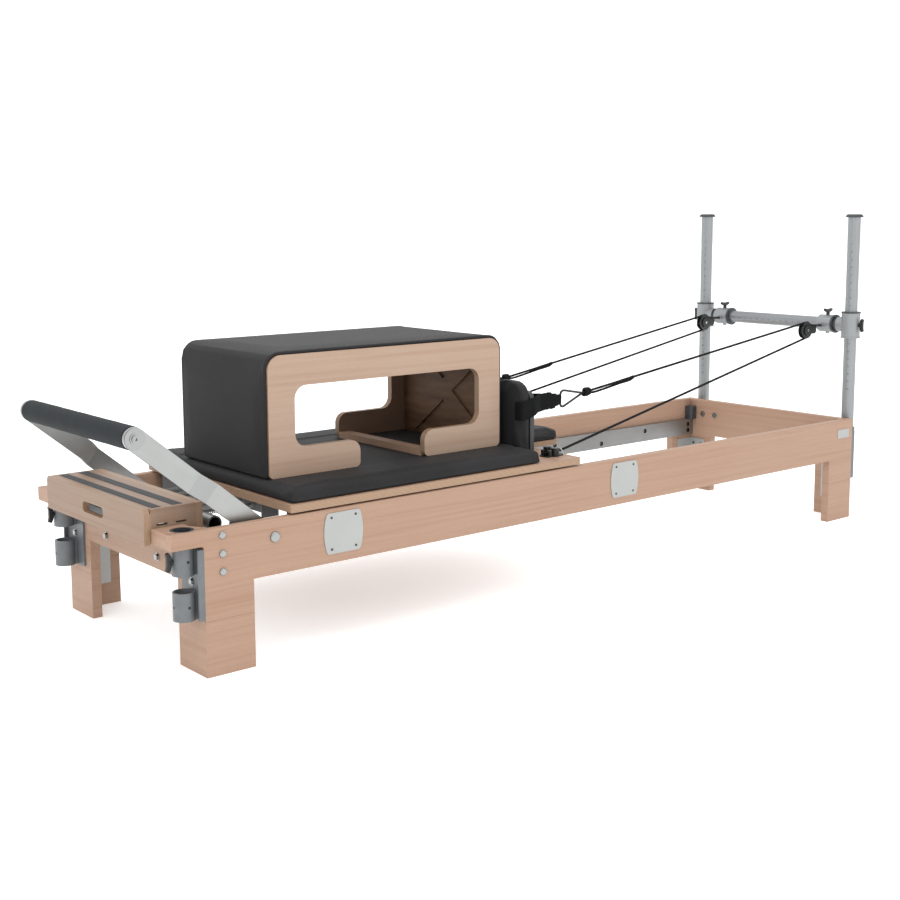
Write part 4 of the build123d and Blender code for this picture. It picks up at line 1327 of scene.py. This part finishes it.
@dataclass
class Springs:
    """Five extension springs side by side under the deck."""

    finishes: Finishes
    rows: Sequence[float] = (-120.0, -60.0, 0.0, 60.0, 120.0)
    start: float = 93.4
    end: float = 261.6
    height: float = 315.0
    coil: float = 0.0092
    wire: float = 0.0012
    turns: int = 34

    def build(self) -> list[bpy.types.Object]:
        """Coils: a circle of the wire carried along a helix that narrows at both ends.

        Returns:
            One object for every spring.
        """
        made = []
        for place, y in enumerate(self.rows):
            t = np.linspace(0, 1, self.turns * 14)
            angle = 2 * np.pi * self.turns * t + 0.7 * place
            wide = self.coil * (0.25 + 0.75 * rise(np.minimum(t, 1 - t), 0.0, 0.05))
            centre = spot(self.start, y, self.height)
            x = centre[0] + (self.end - self.start) * 0.001 * t
            path = np.stack([x, centre[1] + wide * np.cos(angle), centre[2] + wide * np.sin(angle)], -1)
            shape = carried(path, circle(self.wire, 6), (1, 0, 0))
            name = f"spring_coil_{place + 1}"
            one = piece(name, lattice(name, shape), self.finishes["spring_steel"], 1.2)
            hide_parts("springs")
            tuple(spot(self.start + 6, y, self.height))
            tuple(spot(self.end - 6, y, self.height))
            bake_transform(one)
            made.append(one)
        return made


# ---------------------------------------------------------------- printed scales


@dataclass
class Scale:
    """Printed centimetre marks wrapped on a tube."""

    name: str
    body: str
    centre: Array
    axis: int
    facing: tuple[float, float]
    start: float
    end: float
    step: float
    finishes: Finishes
    radius: float = 0.02004

    def wrap(self, flat: Array, at: float) -> Array:
        """Lays flat drawing points on the tube: across the drawing becomes an arc, up it runs
        along the axis."""
        angle = math.atan2(self.facing[1], self.facing[0]) + flat[:, 0] / self.radius
        points = np.zeros((len(flat), 3))
        other = [k for k in range(3) if k != self.axis]
        points[:, other[0]] = self.radius * np.cos(angle)
        points[:, other[1]] = self.radius * np.sin(angle)
        points[:, self.axis] = flat[:, 1] + at
        fixed = self.centre.copy()
        fixed[self.axis] = 0.0
        return points + fixed

    def figures(self, text: str) -> tuple[Array, list[list[int]]]:
        """Flat mesh of a number, centred.

        Args:
            text: the number.

        Returns:
            Its points and faces.
        """
        data = bpy.data.curves.new("figure", "FONT")
        data.body, data.size, data.align_x, data.align_y = text, 0.0088, "CENTER", "CENTER"
        data.resolution_u = 2
        holder = bpy.data.objects.new("figure", data)
        mesh = bpy.data.meshes.new_from_object(holder)
        flat = coordinates(mesh)
        faces = [list(p.vertices) for p in mesh.polygons]
        bpy.data.objects.remove(holder)
        bpy.data.curves.remove(data)
        bpy.data.meshes.remove(mesh)
        return flat, faces

    def build(self) -> bpy.types.Object:
        """Ticks every step, longer at each fifth, with a number beside those.

        Returns:
            The print as one mesh.
        """
        vertices, faces, total = [], [], 0
        count = int(abs(self.end - self.start) / self.step) + 1
        sign = 1.0 if self.end > self.start else -1.0
        mirror = -1.0 if self.axis == 2 else 1.0
        for k in range(count):
            at = self.start + sign * k * self.step
            wide = 0.0085 if k % 5 == 0 else 0.0048
            tick = np.array([[0.0, -0.0006], [wide, -0.0006], [wide, 0.0006], [0.0, 0.0006]])
            items = [(tick, [[0, 1, 2, 3]])]
            if k % 5 == 0:
                flat, shapes = self.figures(str(k // 5 + 1))
                turned = flat[:, :2] * [1.0, 1.0] + [-0.0048, 0.0]
                items.append((turned, shapes))
            for flat, shapes in items:
                flat = flat * [mirror, 1.0] if self.axis == 2 else flat
                vertices.append(self.wrap(flat, at))
                faces += [[i + total for i in shape] for shape in shapes]
                total += len(flat)
        mesh = bpy.data.meshes.new(self.name)
        mesh.from_pydata(np.concatenate(vertices).tolist(), [], faces)
        made = piece(self.name, mesh, self.finishes["scale_ink"], 3.0)
        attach(made, self.body)
        return made


# ---------------------------------------------------------------- studio


@dataclass
class Studio:
    """Pale floor, soft lights and the camera."""

    place: tuple[float, float, float] = (-2.53919, -2.84556, 1.00381)
    turn: tuple[float, float, float] = (82.3767, 0.10756, -40.19759)
    lens: float = 53.5777
    shift: tuple[float, float] = (-0.015929, -0.065404)

    def camera(self) -> None:
        """Sets the camera."""
        data = bpy.data.cameras.new("camera")
        data.lens, data.sensor_width = self.lens, 36.0
        data.shift_x, data.shift_y = self.shift
        data.clip_end = 60.0
        made = bpy.data.objects.new("camera", data)
        made.location = self.place
        made.rotation_euler = Euler([math.radians(a) for a in self.turn])
        bpy.context.scene.collection.objects.link(made)
        bpy.context.scene.camera = made

    def lamp(self, name: str, place: Iterable[float], aim: Iterable[float], size: float,
             power: float) -> None:
        """One square soft light.

        Args:
            name: its name.
            place: where it hangs.
            aim: the point it looks at.
            size: its side in metres.
            power: its power in watts.
        """
        data = bpy.data.lights.new(name, "AREA")
        data.shape, data.size, data.energy = "SQUARE", size, power
        made = bpy.data.objects.new(name, data)
        made.location = Vector(place)
        made.rotation_euler = (Vector(aim) - Vector(place)).to_track_quat("-Z", "Y").to_euler()
        bpy.context.scene.collection.objects.link(made)

    def floor(self) -> None:
        """A wide pale floor, a square grid of points."""
        side = np.linspace(-30, 30, 9)
        x, y = np.meshgrid(side, side, indexing="ij")
        points = np.stack([x, y, np.zeros_like(x)], -1)
        mesh = lattice("floor", points, around=False, capped=False)
        net = Net("floor_paint")
        tone = net.noise(net.place(), 0.6, 2.0)
        material = net.finish(net.mix((0.965, 0.965, 0.965), (0.975, 0.975, 0.975), tone), 0.9,
                              Specular_IOR_Level=0.0, Emission_Color=(1.0, 1.0, 1.0, 1.0),
                              Emission_Strength=0.34)
        made = piece("floor", mesh, material)

    def build(self) -> None:
        """Sets floor, sky and lights."""
        self.floor()
        world = bpy.data.worlds.new("sky")
        world.use_nodes = True
        world.node_tree.nodes["Background"].inputs[0].default_value = (1.0, 1.0, 1.0, 1.0)
        world.node_tree.nodes["Background"].inputs[1].default_value = 1.25
        bpy.context.scene.world = world
        bpy.context.scene.view_settings.view_transform = "Standard"
        self.lamp("overhead", (-0.4, -0.3, 3.6), (0.0, 0.0, 0.3), 3.4, 42.0)
        self.lamp("key", (-2.6, -1.2, 2.6), (-0.2, 0.0, 0.3), 1.8, 8.0)
        self.lamp("fill", (1.6, -3.6, 1.6), (0.3, 0.0, 0.3), 2.2, 8.0)


def corners(box: tuple[Vector, Vector]) -> list[list[float]]:
    """A box as plain lists."""
    return [list(map(float, v)) for v in box]


def main() -> None:
    """Builds every piece and notes the sizes."""
    logging.basicConfig(level=logging.INFO, format="%(message)s")
    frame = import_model()
    studio = Studio()
    studio.camera()
    finishes = Finishes()
    near = Rope("rope_near", -1.0, finishes, turn=(
        (2160.0, 222.6, 560.9), (2292.2, 216.0, 586.6), (2333.4, 214.0, 594.6),
        (2333.4, 214.0, 644.2), (2291.7, 215.0, 638.9), (2160.0, 218.2, 622.0)),
        upper=((2160.0, 218.2, 622.0), (1293.7, 239.0, 510.8), (1252.0, 240.0, 505.5)),
        lengths=(1.108, 0.385, 0.916))
    far = Rope("rope_far", 1.0, finishes, turn=(
        (2160.0, 222.6, 560.9), (2292.2, 216.0, 586.6), (2333.4, 214.0, 594.6),
        (2333.4, 214.0, 644.2), (2291.8, 215.1, 637.4), (2160.0, 218.7, 615.9)),
        upper=((2160.0, 218.7, 615.9), (1421.7, 238.9, 495.3), (1380.0, 240.0, 488.5)),
        lengths=(1.108, 0.385, 0.791))
    near.build()
    far.build()
    Joinery(finishes).dress(frame["nodes"])
    Strap("strap_near", -1.0, 0.0, finishes).build()
    Strap("strap_far", 1.0, 128.0, finishes).build()
    Springs(finishes).build()
    Footbar(finishes).build()
    pole_x = spot(2430, 0, 0)[0]
    for name, y in (("scale_near", -0.306), ("scale_far", 0.306)):
        Scale(name, "bench", np.array([pole_x, y, 0.0]), 2, (-0.98, -0.17), 0.897, 0.418, 0.005,
              finishes).build()
    Scale("scale_bar", "crossbar", np.array([pole_x, 0.0, 0.633]), 1, (-0.95, -0.31), -0.165, 0.165,
          0.005, finishes).build()
    Upholstery(finishes).build(frame["nodes"])
    studio.build()


if __name__ == "__main__":
    main()
